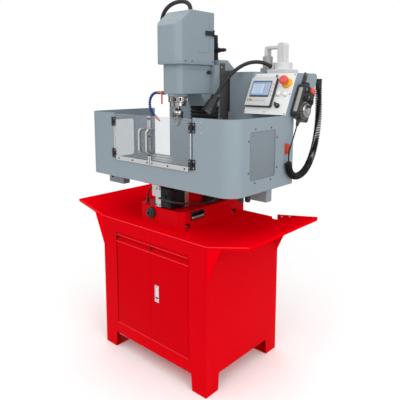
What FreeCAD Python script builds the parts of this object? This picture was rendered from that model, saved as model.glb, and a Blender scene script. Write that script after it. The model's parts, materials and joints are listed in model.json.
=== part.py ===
"""Compact milling machine on a two-door cabinet, built as separate named pieces.

Millimetres, +Z up, +X to the operator's right, -Y to the front.
The pieces are drawn with the cabinet's middle at X = Y = 0 and the floor at Z = 0.
They are exported moved forward by FRAME_Y, so that the origin lies under the middle of the whole outline.
"""
import os
import FreeCAD
import Part
from math import atan2, ceil, cos, degrees, pi, radians, sin, sqrt, tan

V = FreeCAD.Vector
X_AXIS, Y_AXIS, Z_AXIS = V(1, 0, 0), V(0, 1, 0), V(0, 0, 1)

FRAME_Y = 64.0

# Fits shared by every moving pair
SHEET = 2.5
RUN_FIT = 0.05
SEAT = 0.3

# Cabinet stand
CAB_HALF_W = 336.5
CAB_HALF_D = 259.5
FOOT_H = 77.0
FOOT_W = 85.0
FOOT_TAPER = 6.0
TRAY_Z = 657.0
CAB_TOP = TRAY_Z - SHEET
OPEN_HALF_W = CAB_HALF_W - 96.5
OPEN_Z0, OPEN_Z1 = FOOT_H + 56.0, TRAY_Z - 64.0
DOOR_GAP = 1.5
DOOR_T = 20.0
DOOR_SKIN = 1.5
PIVOT_IN = 6.5
PIVOT_R = 3.0
GRIP_Z0, GRIP_Z1, GRIP_DEPTH = OPEN_Z1 - 41.0, OPEN_Z1 - 11.0, 15.0
LOCK_X, LOCK_Z, LOCK_W, LOCK_H = 45.0, OPEN_Z0 + 237.0, 26.0, 78.0

# Chip tray
WING_HALF_W = CAB_HALF_W + 208.5
WING_RISE = 48.0
TRAY_REAR, WING_REAR = CAB_HALF_D - 50.5, CAB_HALF_D - 5.5
LIP = 12.0
REAR_LIP = 25.0
GUSSET_DROP, GUSSET_REACH = 152.0, 78.0

# Base casting and column
BASE_HALF_W = 142.0
BASE_Y0, BASE_Y1 = -200.0, 245.0
BASE_TOP = TRAY_Z + 88.0
WEB_HALF_W, WEB_Y0 = 80.0, -97.0
DECK_HALF_W, DECK_Y0 = 90.0, -215.0
DECK_Z0 = BASE_TOP + 105.0
DECK_Z1 = DECK_Z0 + 30.0
COL_HALF_W, COL_Y0, COL_Y1 = 85.0, 118.0, 240.0
COL_TOP = BASE_TOP + 663.0
COL_SLANT_Y, COL_SLANT_Z = 60.0, 44.0
SCREW_SLOT_HALF = 22.0
Z_SCREW_Y, Z_SCREW_R = 148.0, 9.0
Y_SCREW_X, Y_SCREW_Z, Y_SCREW_R = 38.0, BASE_TOP + 52.0, 8.0
Z_MOTOR_HALF, Z_MOTOR_H = 31.5, 121.0
Y_MOTOR_HALF, Y_MOTOR_Y0, Y_MOTOR_Y1 = 47.0, -205.0, -121.0

# Table and saddle
SPINDLE_Y = -75.0
SADDLE_HALF_W, SADDLE_HALF_D, SADDLE_TOP = 115.0, 70.0, DECK_Z1 + 25.0
TABLE_HALF_W, TABLE_HALF_D = 230.0, 80.0
TABLE_Z0, TABLE_TOP = SADDLE_TOP + SEAT, SADDLE_TOP + 42.0
SLOT_W, SLOT_FOOT_W, SLOT_DEPTH, SLOT_FOOT_H, SLOT_PITCH = 12.0, 20.0, 17.0, 8.0, 50.0
X_SCREW_Z, X_SCREW_R = SADDLE_TOP + 9.5, 7.0
X_MOTOR_HALF, X_MOTOR_L = 27.0, 78.0
END_T = 12.0

# Head
HEAD_HALF_W, HEAD_Y0, HEAD_Y1 = 58.0, -122.0, 85.0
HEAD_Z0 = TABLE_TOP + 305.0
HEAD_Z1 = HEAD_Z0 + 139.0
HEAD_PLATE_T = 8.0
SLIDE_Z0, SLIDE_Z1 = HEAD_Z0 - 60.0, HEAD_Z1 - HEAD_PLATE_T
COVER_HALF_W, COVER_Y0, COVER_Y1 = HEAD_HALF_W + 17.0, HEAD_Y0 - 24.0, HEAD_Y1 + 10.0
COVER_TOP = HEAD_Z1 + 227.0
COVER_BROW_Z, COVER_BROW_Y = COVER_TOP - 68.0, COVER_Y0 + 84.0
COVER_R = 34.0
COVER_SCREW_YS = (COVER_Y0 + 46.0, COVER_Y0 + 86.0, COVER_Y1 - 16.0)
SPINDLE_R = 20.0
NOSE_R, NOSE_Z0 = SPINDLE_R + 24.0, HEAD_Z0 - 55.0
NOSE_FLANGE_T = 12.0
CHUCK_R, CHUCK_TIP_Z = 21.0, NOSE_Z0 - 94.0
BELLOWS_HALF_W, BELLOWS_Z0, PLEATS = COL_HALF_W - 2.0, DECK_Z1 + 4.0, 17
PLEAT_IN = 9.0

# Splash enclosure
ENC_HALF_W, ENC_Y0, ENC_Y1 = 455.0, -246.0, 178.0
ENC_Z0 = DECK_Z0 + 12.0
ENC_Z1, ENC_R = ENC_Z0 + 302.0, 70.0
DOORWAY_HALF_W, DOORWAY_Z0 = 250.0, ENC_Z0 + 88.0
PANE_T, PANE_GAP = 5.0, 3.0
RAIL_H, RAIL_T = 20.0, 3.5
HANDLE_Z0, HANDLE_L, HANDLE_OUT, HANDLE_BAR = DOORWAY_Z0 + 50.0, 107.0, 42.0, 11.0
HANDLE_Z1 = HANDLE_Z0 + HANDLE_L
HINGE_ZS = (DOORWAY_Z0 + 26.0, ENC_Z1 - 40.0)
HINGE_H, HINGE_W, HINGE_T, KNUCKLE_R, HINGE_PIN_R = 40.0, 16.0, 4.0, 5.0, 2.0
WINDOW_Y0, WINDOW_Y1, WINDOW_R = -140.0, 40.0, 14.0
WINDOW_Z0, WINDOW_Z1 = ENC_Z0 + 55.0, ENC_Z1 - 52.0
REAR_GAP_X = ENC_HALF_W - 142.0
SPLASH_RISE = 100.0
FLOOR_CUT = DECK_HALF_W + 3.0

# Console, its side cabinet and the pendant
BOX_X0, BOX_X1, BOX_Y1, BOX_TOP = 100.0, 238.0, 390.0, ENC_Z1 + 188.0
CON_X0, CON_X1 = BOX_X1, ENC_HALF_W
CON_Y0, CON_DEPTH, CON_TOP, CON_R = 105.0, 192.0, ENC_Z1 + 179.0, 20.0
CON_LEAN = 88.0
PANEL_T = 3.0
LEAN = degrees(atan2(CON_LEAN, CON_TOP - ENC_Z1))
ESTOP_X, ESTOP_V = CON_X1 - 33.0, 150.0
BUTTON_XS, BUTTON_V, BUTTON_R = (CON_X1 - 59.0, CON_X1 - 26.0), 100.0, 10.0
KEY_X, KEY_V = CON_X1 - 50.0, 43.0
PILOT_X, PILOT_V = CON_X1 - 93.0, 185.0
ARM_X0, ARM_X1, ARM_Y, ARM_HALF, ARM_TOP = BOX_X1 - 26.0, CON_X0 + 59.0, 330.0, 20.0, CON_TOP + 146.0
PENDANT_AT = V(CON_X1 + 5.0, 196.0, ENC_Z1 + 19.0)
PENDANT_HALF_W, PENDANT_LOW, PENDANT_HIGH, PENDANT_T = 46.0, -42.0, 108.0, 38.0


def seated(points, x=0.0, z=0.0):
    """A route's points, given from the piece that carries it."""
    return [(x + dx, y, z + dz) for dx, y, dz in points]


# Cords and the lamp's neck, each a hand-laid route with its diameter
MOTOR_HOSE_D = 20.0
MOTOR_HOSE = seated([(0, 11, 8), (0, 11, 19), (-3.5, 11, 30), (-10.5, 11, 39.5), (-20.5, 11, 47),
                     (-34, 11, 53), (-51, 11, 56.5), (-73, 11, 58), (-100, 11, 56), (-131, 12, 49.5),
                     (-160, 13.5, 36), (-184, 16, 15), (-201, 21.5, -11), (-211, 30.5, -43),
                     (-214, 45, -79), (-211, 64, -114), (-204, 86, -147), (-194, 108, -176),
                     (-181, 129, -201), (-167, 147, -222), (-152, 160.5, -239), (-138, 170, -254),
                     (-125, 176, -267)], z=COVER_TOP)
Y_CABLE_D = 8.0
Y_CABLE = seated([(41, -219, 55), (41, -229, 55), (44.5, -238.5, 54), (51, -246, 53),
                  (60, -251, 51), (72, -253, 49), (90, -250, 45), (111, -241, 41), (132, -224, 36),
                  (149, -199, 31), (160, -165, 27), (166, -124, 25), (167, -80, 24), (165, -44, 24),
                  (162, -20, 24), (156.5, -5, 24), (147, 5, 24), (135.5, 9, 24), (124, 9, 24)], z=BASE_TOP)
SENSOR_CABLE = seated([(-86, -150, 70), (-97, -150, 70), (-107.5, -150, 66.5),
                       (-116.5, -150.5, 59.5), (-122.5, -151.5, 50), (-126, -152.5, 39),
                       (-127, -153, 27), (-127, -153, 15)], z=BASE_TOP)
LEAD_D = 5.6
LEAD = seated([(23, 141, -93), (21.5, 129, -117), (20, 119, -141), (19, 112, -163), (19, 112, -180)],
              x=CON_X1, z=ENC_Z1)
COIL_R, COIL_PITCH = 9.4, 7.9
COIL = seated([(19, 112, -180), (19, 112, -207), (18, 120, -232), (17, 140, -254), (15, 172, -268),
               (13, 210, -271), (11, 251, -263), (9, 290, -243), (6, 325, -212), (4, 354, -172),
               (2, 377, -124), (0, 393, -70), (-2, 402, -12), (-5, 405, 42), (-7, 403, 94),
               (-7, 403, 133)], x=CON_X1, z=ENC_Z1)
NECK_D = 18.0
NECK = seated([(262, 287, 33.5), (250.5, 261, 47), (235, 236, 54), (218.5, 212, 54.5), (201.5, 189, 50),
               (186, 167, 39.5), (173, 146, 25), (161.5, 126, 8), (152, 107, -12), (144.5, 89.5, -33),
               (138, 72.5, -55), (132, 57, -77.5), (128.5, 42, -101)], z=CON_TOP)
LAMP_L, LAMP_R, LAMP_SOCKET_L, LAMP_SOCKET_R = 88.0, 28.0, 32.0, 21.0
BLUE_HOSE_D = 14.0
COOL_Y = -94.0
BLUE_HOSE = seated([(-54, COOL_Y, 4), (-69, COOL_Y, 4), (-84, COOL_Y, -1), (-97, COOL_Y, -10),
                    (-106.5, COOL_Y, -23), (-111.5, COOL_Y, -39), (-112, COOL_Y, -56),
                    (-107.5, COOL_Y, -73), (-98.5, COOL_Y, -88), (-86, COOL_Y, -100),
                    (-72, COOL_Y, -109)], x=-HEAD_HALF_W, z=HEAD_Z0)


def box(x0, x1, y0, y1, z0, z1):
    return Part.makeBox(x1 - x0, y1 - y0, z1 - z0, V(x0, y0, z0))


def rod(start, end, r):
    start, end = V(start), V(end)
    return Part.makeCylinder(r, (end - start).Length, start, end - start)


def cone(start, end, r0, r1):
    start, end = V(start), V(end)
    return Part.makeCone(r0, r1, (end - start).Length, start, end - start)


def outline(points, radii=None):
    """Closed wire through the points, each corner rounded by its radius (0 leaves it sharp)."""
    points = [V(p) for p in points]
    radii = radii or [0] * len(points)
    ends = []
    edges = []
    for i, corner in enumerate(points):
        before, after = points[i - 1], points[(i + 1) % len(points)]
        a, b = (before - corner).normalize(), (after - corner).normalize()
        if not radii[i]:
            ends.append((corner, corner))
            continue
        reach = radii[i] / tan(a.getAngle(b) / 2)
        start, end = corner + a * reach, corner + b * reach
        middle = (a + b).normalize()
        far = radii[i] / sin(a.getAngle(b) / 2) - radii[i]
        edges.append(Part.Arc(start, corner + middle * far, end).toShape())
        ends.append((start, end))
    for i in range(len(points)):
        start, end = ends[i][1], ends[(i + 1) % len(points)][0]
        if (end - start).Length > 1e-6:
            edges.append(Part.makeLine(start, end))
    return Part.Wire(Part.__sortEdges__(edges))


def prism(points, along, radii=None):
    return Part.Face(outline(points, radii)).extrude(along)


def side_prism(yz, x0, x1, radii=None):
    """Prism along X of an outline given as (y, z) points."""
    return prism([(x0, y, z) for y, z in yz], V(x1 - x0, 0, 0), radii)


def front_prism(xz, y0, y1, radii=None):
    """Prism along Y of an outline given as (x, z) points."""
    return prism([(x, y0, z) for x, z in xz], V(0, y1 - y0, 0), radii)


def plan_prism(xy, z0, z1, radii=None):
    """Prism along Z of an outline given as (x, y) points."""
    return prism([(x, y, z0) for x, y in xy], V(0, 0, z1 - z0), radii)


def round_box(x0, x1, y0, y1, z0, z1, r):
    return plan_prism([(x0, y0), (x1, y0), (x1, y1), (x0, y1)], z0, z1, [r] * 4)


def fuse(first, *others):
    return first.fuse(list(others)).removeSplitter()


def mirror_x(shape):
    return shape.mirror(V(0, 0, 0), X_AXIS)


def both_sides(shape):
    return Part.makeCompound([shape, mirror_x(shape)])


def group(shapes):
    return Part.makeCompound(list(shapes))


def screw_head(at, out, r, h):
    """Round screw head of radius r standing h out of a face at a point."""
    return Part.makeCylinder(r, h, V(at), V(out))


def hex_bolt(at, across, h):
    """Hexagon head and its washer on a level face."""
    at = V(at)
    corners = [at + V(cos(k * pi / 3), sin(k * pi / 3), 0) * across / sqrt(3) for k in range(6)]
    washer = Part.makeCylinder(across * 0.75, 2, at, Z_AXIS)
    head = prism([c + V(0, 0, 2) for c in corners], V(0, 0, h))
    return fuse(washer, head)


def placed(shape, origin, x_dir, y_dir):
    """Moves a piece made in local axes to its origin, local x and y along the given directions."""
    x_dir, y_dir = V(x_dir).normalize(), V(y_dir).normalize()
    z_dir = x_dir.cross(y_dir)
    matrix = FreeCAD.Matrix(x_dir.x, y_dir.x, z_dir.x, origin.x, x_dir.y, y_dir.y, z_dir.y, origin.y,
                            x_dir.z, y_dir.z, z_dir.z, origin.z, 0, 0, 0, 1)
    moved = shape.copy()
    moved.Placement = FreeCAD.Placement(matrix).multiply(moved.Placement)
    return moved


UP_SLOPE = V(0, sin(radians(LEAN)), cos(radians(LEAN)))


def on_panel(shape):
    """Console panel axes: x along +X, y up the slope, z out of the panel."""
    return placed(shape, V(0, CON_Y0, ENC_Z1), X_AXIS, UP_SLOPE)


def on_pendant(shape):
    """Pendant axes: x to the rear, y up the pendant, z out to the right, from the dial's centre."""
    return placed(shape, PENDANT_AT, UP_SLOPE.cross(X_AXIS), UP_SLOPE)


def route_wire(name, points):
    """Straight runs joined by the largest tangent arcs that their lengths allow."""
    points = [V(p) for p in points]
    edges = []
    radii = []
    start = points[0]
    for before, corner, after in zip(points, points[1:], points[2:]):
        a, b = before - corner, after - corner
        half_turn = (pi - a.getAngle(b)) / 2
        reach = 0.45 * min(a.Length, b.Length)
        radius = reach / tan(half_turn)
        a, b = a.normalize(), b.normalize()
        arc_in, arc_out = corner + a * reach, corner + b * reach
        sagitta = radius / cos(half_turn) - radius
        edges.append(Part.makeLine(start, arc_in))
        edges.append(Part.Arc(arc_in, corner + (a + b).normalize() * sagitta, arc_out).toShape())
        radii.append(radius)
        start = arc_out
    edges.append(Part.makeLine(start, points[-1]))
    wire = Part.Wire(edges)
    print(name, "length", round(wire.Length, 1), "radii", [round(r) for r in radii])
    return wire


def swept(name, wire, diameter):
    """Round tube along a wire, its volume compared with section times length."""
    first = wire.Edges[0]
    circle = Part.makeCircle(diameter / 2, first.Vertexes[0].Point, first.tangentAt(first.FirstParameter))
    tube = wire.makePipeShell([Part.Wire(circle)], True, False)
    ratio = tube.Volume / (pi * diameter ** 2 / 4 * wire.Length)
    print(name, "volume over section times length", round(ratio, 4))
    return tube


def cord(name, points, diameter):
    return swept(name, route_wire(name, points), diameter)


def cabinet_shell():
    """Folded sheet cabinet with its doorway, four corner legs and the pivot pins of the doors."""
    shell = box(-CAB_HALF_W, CAB_HALF_W, -CAB_HALF_D, CAB_HALF_D, FOOT_H, CAB_TOP)
    inside = box(-CAB_HALF_W + SHEET, CAB_HALF_W - SHEET, -CAB_HALF_D + SHEET, CAB_HALF_D - SHEET,
                 FOOT_H + SHEET, CAB_TOP - SHEET)
    doorway = box(-OPEN_HALF_W, OPEN_HALF_W, -CAB_HALF_D - 1, -CAB_HALF_D + SHEET + 1, OPEN_Z0, OPEN_Z1)
    inner_x = CAB_HALF_W - FOOT_W
    face = [(CAB_HALF_W, FOOT_H), (inner_x, FOOT_H), (inner_x + FOOT_TAPER, 0), (CAB_HALF_W, 0)]
    front = front_prism(face, -CAB_HALF_D, -CAB_HALF_D + SHEET)
    inner_y = -CAB_HALF_D + FOOT_W
    flank = [(-CAB_HALF_D, FOOT_H), (inner_y, FOOT_H), (inner_y - FOOT_TAPER, 0), (-CAB_HALF_D, 0)]
    side = side_prism(flank, CAB_HALF_W - SHEET, CAB_HALF_W)
    pad_w = FOOT_W - FOOT_TAPER
    pad = box(CAB_HALF_W - pad_w, CAB_HALF_W, -CAB_HALF_D, -CAB_HALF_D + pad_w, 0, SHEET)
    leg = fuse(front, side, pad)
    legs = [leg, mirror_x(leg)]
    legs += [piece.mirror(V(0, 0, 0), Y_AXIS) for piece in legs]
    pivots = [shape for x in (-PIVOT_X, PIVOT_X) for shape in pivot_pins(x)]
    return fuse(shell.cut(inside).cut(doorway), *legs, *pivots)


PIVOT_X = OPEN_HALF_W - DOOR_GAP - PIVOT_IN
PIVOT_Y = -CAB_HALF_D + PIVOT_IN
PIVOT_DEEP = 12.0
TAB = 5.0


def pivot_pins(x):
    """Upper and lower pin of one door, each on a tab behind the cabinet's front sheet."""
    shapes = []
    for edge_z, away in ((OPEN_Z1, 1), (OPEN_Z0, -1)):
        low, high = sorted((edge_z, edge_z + away * TAB))
        shapes.append(box(x - 2 * TAB, x + 2 * TAB, -CAB_HALF_D + SHEET / 2, PIVOT_Y + 2 * TAB, low, high))
        shapes.append(rod((x, PIVOT_Y, edge_z + away * TAB / 2),
                          (x, PIVOT_Y, edge_z - away * (DOOR_GAP + PIVOT_DEEP)), PIVOT_R))
    return shapes


def cabinet_door():
    """Right-hand pan door: front skin, folded edges and a grooved finger grip along its top."""
    x0, x1 = DOOR_GAP / 2, OPEN_HALF_W - DOOR_GAP
    y0, y1 = -CAB_HALF_D, -CAB_HALF_D + DOOR_T
    z0, z1 = OPEN_Z0 + DOOR_GAP, OPEN_Z1 - DOOR_GAP
    door = plan_prism([(x0, y0), (x1, y0), (x1, y1), (x0, y1)], z0, z1, [0, PIVOT_IN, PIVOT_IN, 0])
    stile = 2.5 * PIVOT_IN
    pocket = box(x0 + DOOR_SKIN, x1 - stile, y0 + DOOR_SKIN, y1 + 1, z0 + DOOR_SKIN, GRIP_Z0 - TAB)
    grip_mid = GRIP_Z0 + (GRIP_Z1 - GRIP_Z0) * 0.6
    groove = [(y0 - 1, GRIP_Z0 - 2), (y0 + GRIP_DEPTH, grip_mid), (y0 - 1, GRIP_Z1 + 2)]
    grip = side_prism(groove, x0 - 1, x1 + 1)
    deep = PIVOT_DEEP + DOOR_GAP
    holes = [rod((PIVOT_X, PIVOT_Y, z), (PIVOT_X, PIVOT_Y, z + way * deep), PIVOT_R + RUN_FIT)
             for z, way in ((z0, 1), (z1, -1))]
    return door.cut([pocket, grip] + holes).removeSplitter()


LOCK_WALL = 2.0
LOCK_DEEP = 13.0
PADDLE_H = 46.0
PADDLE_PIN_R = 2.0


def lock_hole():
    return box(LOCK_X - LOCK_W / 2 + LOCK_WALL, LOCK_X + LOCK_W / 2 - LOCK_WALL, -CAB_HALF_D - 1,
               -CAB_HALF_D + DOOR_SKIN + 1, LOCK_Z - LOCK_H / 2 + LOCK_WALL, LOCK_Z + LOCK_H / 2 - LOCK_WALL)


PADDLE_PIVOT = V(LOCK_X, -CAB_HALF_D + 3, LOCK_Z + LOCK_H / 2 - 9)


def lock_housing():
    """Recessed lock dish in the right door: rim, dish, key cylinder and the paddle's pin."""
    half_w, half_h, y0 = LOCK_W / 2, LOCK_H / 2, -CAB_HALF_D
    rim = box(LOCK_X - half_w, LOCK_X + half_w, y0 - LOCK_WALL, y0, LOCK_Z - half_h, LOCK_Z + half_h)
    inner_w, inner_h = half_w - LOCK_WALL, half_h - LOCK_WALL
    dish = box(LOCK_X - inner_w, LOCK_X + inner_w, y0, y0 + LOCK_DEEP, LOCK_Z - inner_h, LOCK_Z + inner_h)
    recess = box(LOCK_X - inner_w + 1, LOCK_X + inner_w - 1, y0 - LOCK_WALL - 1, y0 + LOCK_DEEP - LOCK_WALL,
                 PADDLE_PIVOT.z - PADDLE_H - 6, LOCK_Z + inner_h - 1)
    cylinder = rod((LOCK_X, y0 - LOCK_WALL, LOCK_Z - half_h + 10), (LOCK_X, y0 - 2 * LOCK_WALL,
                                                                   LOCK_Z - half_h + 10), 7)
    pin = rod(PADDLE_PIVOT - X_AXIS * inner_w, PADDLE_PIVOT + X_AXIS * inner_w, PADDLE_PIN_R)
    return fuse(rim.fuse(dish).cut(recess), cylinder, pin)


def lock_paddle():
    """Flush pull paddle that swings out about its top pin."""
    half_w = LOCK_W / 2 - LOCK_WALL - 1 - SEAT
    plate = box(LOCK_X - half_w, LOCK_X + half_w, -CAB_HALF_D - 1, -CAB_HALF_D + 2,
                PADDLE_PIVOT.z - PADDLE_H, PADDLE_PIVOT.z)
    barrel = rod(PADDLE_PIVOT - X_AXIS * half_w, PADDLE_PIVOT + X_AXIS * half_w, 2 * PADDLE_PIN_R)
    hole = rod(PADDLE_PIVOT - X_AXIS * LOCK_W, PADDLE_PIVOT + X_AXIS * LOCK_W, PADDLE_PIN_R + RUN_FIT)
    return fuse(plate, barrel).cut(hole)


WING_SLOPE = WING_RISE / (WING_HALF_W - CAB_HALF_W)
WING_TOP = TRAY_Z + WING_RISE


def tray_wing():
    """Right wing: rising sheet, turned-down lips, rear upstand and two gussets to the cabinet."""
    x0, x1 = CAB_HALF_W, WING_HALF_W
    sheet = front_prism([(x0, CAB_TOP), (x0, TRAY_Z), (x1, WING_TOP), (x1, WING_TOP - SHEET)],
                        -CAB_HALF_D, WING_REAR)
    outer = box(x1 - SHEET, x1, -CAB_HALF_D, WING_REAR, WING_TOP - LIP, WING_TOP)
    front = front_prism([(x0, TRAY_Z), (x1, WING_TOP), (x1, WING_TOP - LIP), (x0, TRAY_Z - LIP)],
                        -CAB_HALF_D, -CAB_HALF_D + SHEET)
    upstand = [(x0, CAB_TOP), (x0, TRAY_Z + REAR_LIP), (x1, WING_TOP + SHEET * 2), (x1, WING_TOP - LIP)]
    rear = front_prism(upstand, WING_REAR - SHEET, WING_REAR)
    reach_z = CAB_TOP + GUSSET_REACH * WING_SLOPE
    foot = [(x0, CAB_TOP - GUSSET_DROP), (x0, CAB_TOP), (x0 + GUSSET_REACH, reach_z)]
    gussets = [front_prism(foot, y, y + SHEET) for y in (-CAB_HALF_D + SHEET, WING_REAR - 2 * SHEET)]
    return fuse(sheet, outer, front, rear, *gussets)


def chip_tray():
    """Welded tray: flat pan on the cabinet, rear upstand and two rising wings."""
    pan = box(-CAB_HALF_W, CAB_HALF_W, -CAB_HALF_D, TRAY_REAR, CAB_TOP, TRAY_Z)
    back = box(BASE_HALF_W + SHEET, CAB_HALF_W, TRAY_REAR - SHEET, TRAY_REAR, CAB_TOP, TRAY_Z + REAR_LIP)
    right = fuse(tray_wing(), back)
    return fuse(pan, right, mirror_x(right))


BASE_CHAMFER = 25.0
POCKET = 32.0
POCKET_FOOT = 12.0
BASE_BOLT_Y = (BASE_Y0 + BASE_CHAMFER + POCKET / 2, 166.0)
BASE_BOLT_X = BASE_HALF_W - POCKET / 3


def base_casting():
    """Cast base: hollowed foot pockets, web and deck for the saddle, slot for the feed screw."""
    w, c = BASE_HALF_W, BASE_CHAMFER
    body = plan_prism([(-w + c, BASE_Y0), (w - c, BASE_Y0), (w, BASE_Y0 + c), (w, BASE_Y1), (-w, BASE_Y1),
                       (-w, BASE_Y0 + c)], TRAY_Z, BASE_TOP)
    web = box(-WEB_HALF_W, WEB_HALF_W, WEB_Y0, COL_Y0 - SEAT, BASE_TOP, DECK_Z0)
    deck = box(-DECK_HALF_W, DECK_HALF_W, DECK_Y0, COL_Y0 - SEAT, DECK_Z0, DECK_Z1)
    slot = box(Y_SCREW_X - SCREW_SLOT_HALF, Y_SCREW_X + SCREW_SLOT_HALF, WEB_Y0 - 1, COL_Y0,
               Y_SCREW_Z - SCREW_SLOT_HALF, DECK_Z1 + 1)
    pocket_z = TRAY_Z + POCKET_FOOT
    pockets = [box(side * w - POCKET, side * w + POCKET, y - POCKET / 2, y + POCKET / 2,
                   pocket_z, pocket_z + POCKET * 0.7) for side in (-1, 1) for y in BASE_BOLT_Y]
    post = box(w - 42, w, COL_Y0 + 8, COL_Y0 + 48, BASE_TOP, ENC_Z0)
    lug = box(DECK_HALF_W, DECK_HALF_W + 40, DECK_Y0 + 15, DECK_Y0 + 65, DECK_Z0, ENC_Z0)
    socket = base_socket_block()
    solid = fuse(body, web, deck, post, mirror_x(post), lug, mirror_x(lug))
    return solid.cut([slot, socket] + pockets)


SOCKET_Y0, SOCKET_Y1, SOCKET_DEEP = -140.0, -55.0, 30.0
SOCKET_Z0, SOCKET_Z1 = BASE_TOP - 48.0, BASE_TOP - 8.0


def base_socket_block():
    return box(BASE_HALF_W - SOCKET_DEEP, BASE_HALF_W + 1, SOCKET_Y0, SOCKET_Y1, SOCKET_Z0, SOCKET_Z1)


def base_socket():
    """Black liner of the lifting-bar pocket in the base's right side."""
    wall = 5.0
    rear = BASE_HALF_W - SOCKET_DEEP
    block = box(rear, BASE_HALF_W + 4, SOCKET_Y0, SOCKET_Y1, SOCKET_Z0, SOCKET_Z1)
    hollow = box(rear + wall, BASE_HALF_W + 5, SOCKET_Y0 + wall, SOCKET_Y1 - wall,
                 SOCKET_Z0 + wall, SOCKET_Z1 - wall)
    return block.cut(hollow)


def oil_plug():
    """Round plug with a hexagon recess low on the base's front."""
    x, z = -46.0, BASE_TOP - 30.0
    disc = rod((x, BASE_Y0, z), (x, BASE_Y0 - 16, z), 25)
    tip = rod((x, BASE_Y0 - 16, z), (x, BASE_Y0 - 22, z), 17)
    corners = [(x + 8 * cos(k * pi / 3), BASE_Y0 - 23, z + 8 * sin(k * pi / 3)) for k in range(6)]
    recess = prism(corners, V(0, 9, 0))
    return fuse(disc, tip).cut(recess)


def column():
    """Column casting with a slanted rear top and the feed-screw slot in its front."""
    body = side_prism([(COL_Y0, BASE_TOP), (COL_Y0, COL_TOP), (COL_Y1 - COL_SLANT_Y, COL_TOP),
                       (COL_Y1, COL_TOP - COL_SLANT_Z), (COL_Y1, BASE_TOP)], -COL_HALF_W, COL_HALF_W)
    slot = box(-SCREW_SLOT_HALF, SCREW_SLOT_HALF, COL_Y0 - 1, Z_SCREW_Y + SCREW_SLOT_HALF, BASE_TOP + 35,
               COL_TOP - 12)
    bore = rod((0, Z_SCREW_Y, COL_TOP - 20), (0, Z_SCREW_Y, COL_TOP + 1), Z_SCREW_R + RUN_FIT)
    return body.cut([slot, bore])


COVER_PLATE_T = 3.0
PLATE_SPLIT_Y = 158.0
PLATE_TOPS = (COL_TOP - 15.0, COL_TOP - 48.0)
PLATE_Z0 = ENC_Z0 + 6


def column_covers():
    """Dark steel plates screwed along both sides of the column."""
    shapes = []
    edges = (COL_Y0 + 1, PLATE_SPLIT_Y, COL_Y1 - 14)
    for y0, y1, top in zip(edges, edges[1:], PLATE_TOPS):
        shapes.append(box(COL_HALF_W, COL_HALF_W + COVER_PLATE_T, y0 + 0.5, y1 - 0.5, PLATE_Z0, top))
    return group(shapes + [mirror_x(shape) for shape in shapes])


def axis_motors():
    """Column-top motor with its plug and the square motor in front of the base."""
    h, top = Z_MOTOR_HALF, COL_TOP + Z_MOTOR_H
    flange = box(-h - 4, h + 4, Z_SCREW_Y - h - 4, Z_SCREW_Y + h + 4, COL_TOP, COL_TOP + 8)
    body = box(-h, h, Z_SCREW_Y - h, Z_SCREW_Y + h, COL_TOP + 8, top - 8)
    cap = box(-h - 2, h + 2, Z_SCREW_Y - h - 2, Z_SCREW_Y + h + 2, top - 8, top)
    plug_z = COL_TOP + 47
    plug = rod((h, Z_SCREW_Y, plug_z), (h + 30, Z_SCREW_Y, plug_z), 12)
    tail = cone((h + 30, Z_SCREW_Y, plug_z), (h + 65, Z_SCREW_Y, plug_z), 11, 6)
    half = Y_MOTOR_HALF
    front = box(Y_SCREW_X - half, Y_SCREW_X + half, Y_MOTOR_Y0, Y_MOTOR_Y1,
                Y_SCREW_Z - half, Y_SCREW_Z + half)
    gland_x, gland_z = Y_SCREW_X + 3, Y_SCREW_Z + 3
    gland = rod((gland_x, Y_MOTOR_Y0, gland_z), (gland_x, Y_MOTOR_Y0 - 14, gland_z), 8)
    return group([fuse(flange, body, cap, plug, tail), fuse(front, gland)])


SENSOR_X0, SENSOR_X1, SENSOR_Y0, SENSOR_Y1 = -70.0, -14.0, -176.0, -99.0


def y_drive_blocks():
    """Aluminium flange between motor and base, and the connector block beside it."""
    half = Y_MOTOR_HALF + 3
    flange = box(Y_SCREW_X - half, Y_SCREW_X + half, Y_MOTOR_Y1, WEB_Y0, Y_SCREW_Z - half, Y_SCREW_Z + half)
    bore = rod((Y_SCREW_X, Y_MOTOR_Y1 - 1, Y_SCREW_Z), (Y_SCREW_X, WEB_Y0 + 1, Y_SCREW_Z),
               Y_SCREW_R + RUN_FIT)
    block = box(SENSOR_X0, SENSOR_X1, SENSOR_Y0, SENSOR_Y1, BASE_TOP, DECK_Z0)
    step = box(SENSOR_X0 - 1, SENSOR_X0 + 22, SENSOR_Y0 - 1, SENSOR_Y0 + 22, BASE_TOP - 1, BASE_TOP + 40)
    gland_y, gland_z = SENSOR_Y0 + 26, BASE_TOP + 70
    gland = rod((SENSOR_X0, gland_y, gland_z), (SENSOR_X0 - 16, gland_y, gland_z), 7)
    return group([flange.cut(bore), fuse(block.cut(step), gland)])


TERMINAL_X0, TERMINAL_X1, TERMINAL_Y0, TERMINAL_Y1 = 86.0, 124.0, 0.0, 78.0
TERMINAL_Z1 = BASE_TOP + 45.0


def black_fittings():
    """Black sundries fixed to the frame: plugs, terminal box, glands, held cables, pendant holder."""
    terminal = box(TERMINAL_X0, TERMINAL_X1, TERMINAL_Y0, TERMINAL_Y1, BASE_TOP, TERMINAL_Z1)
    base_gland = rod((-127, -153, BASE_TOP), (-127, -153, BASE_TOP + 15), 9)
    floor_glands = [rod((x, y, ENC_Z0 - 24), (x, y, ENC_Z0), 10)
                    for x, y in ((ENC_HALF_W - 37, -150), (ENC_HALF_W - 23, -122))]
    cables = [cord("y_cable", Y_CABLE, Y_CABLE_D), cord("sensor_cable", SENSOR_CABLE, Y_CABLE_D)]
    return group([base_socket(), oil_plug(), terminal, base_gland, hose_elbow(), pendant_holder(),
                  coil_gland(), lead_clip()] + floor_glands + cables)


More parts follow.
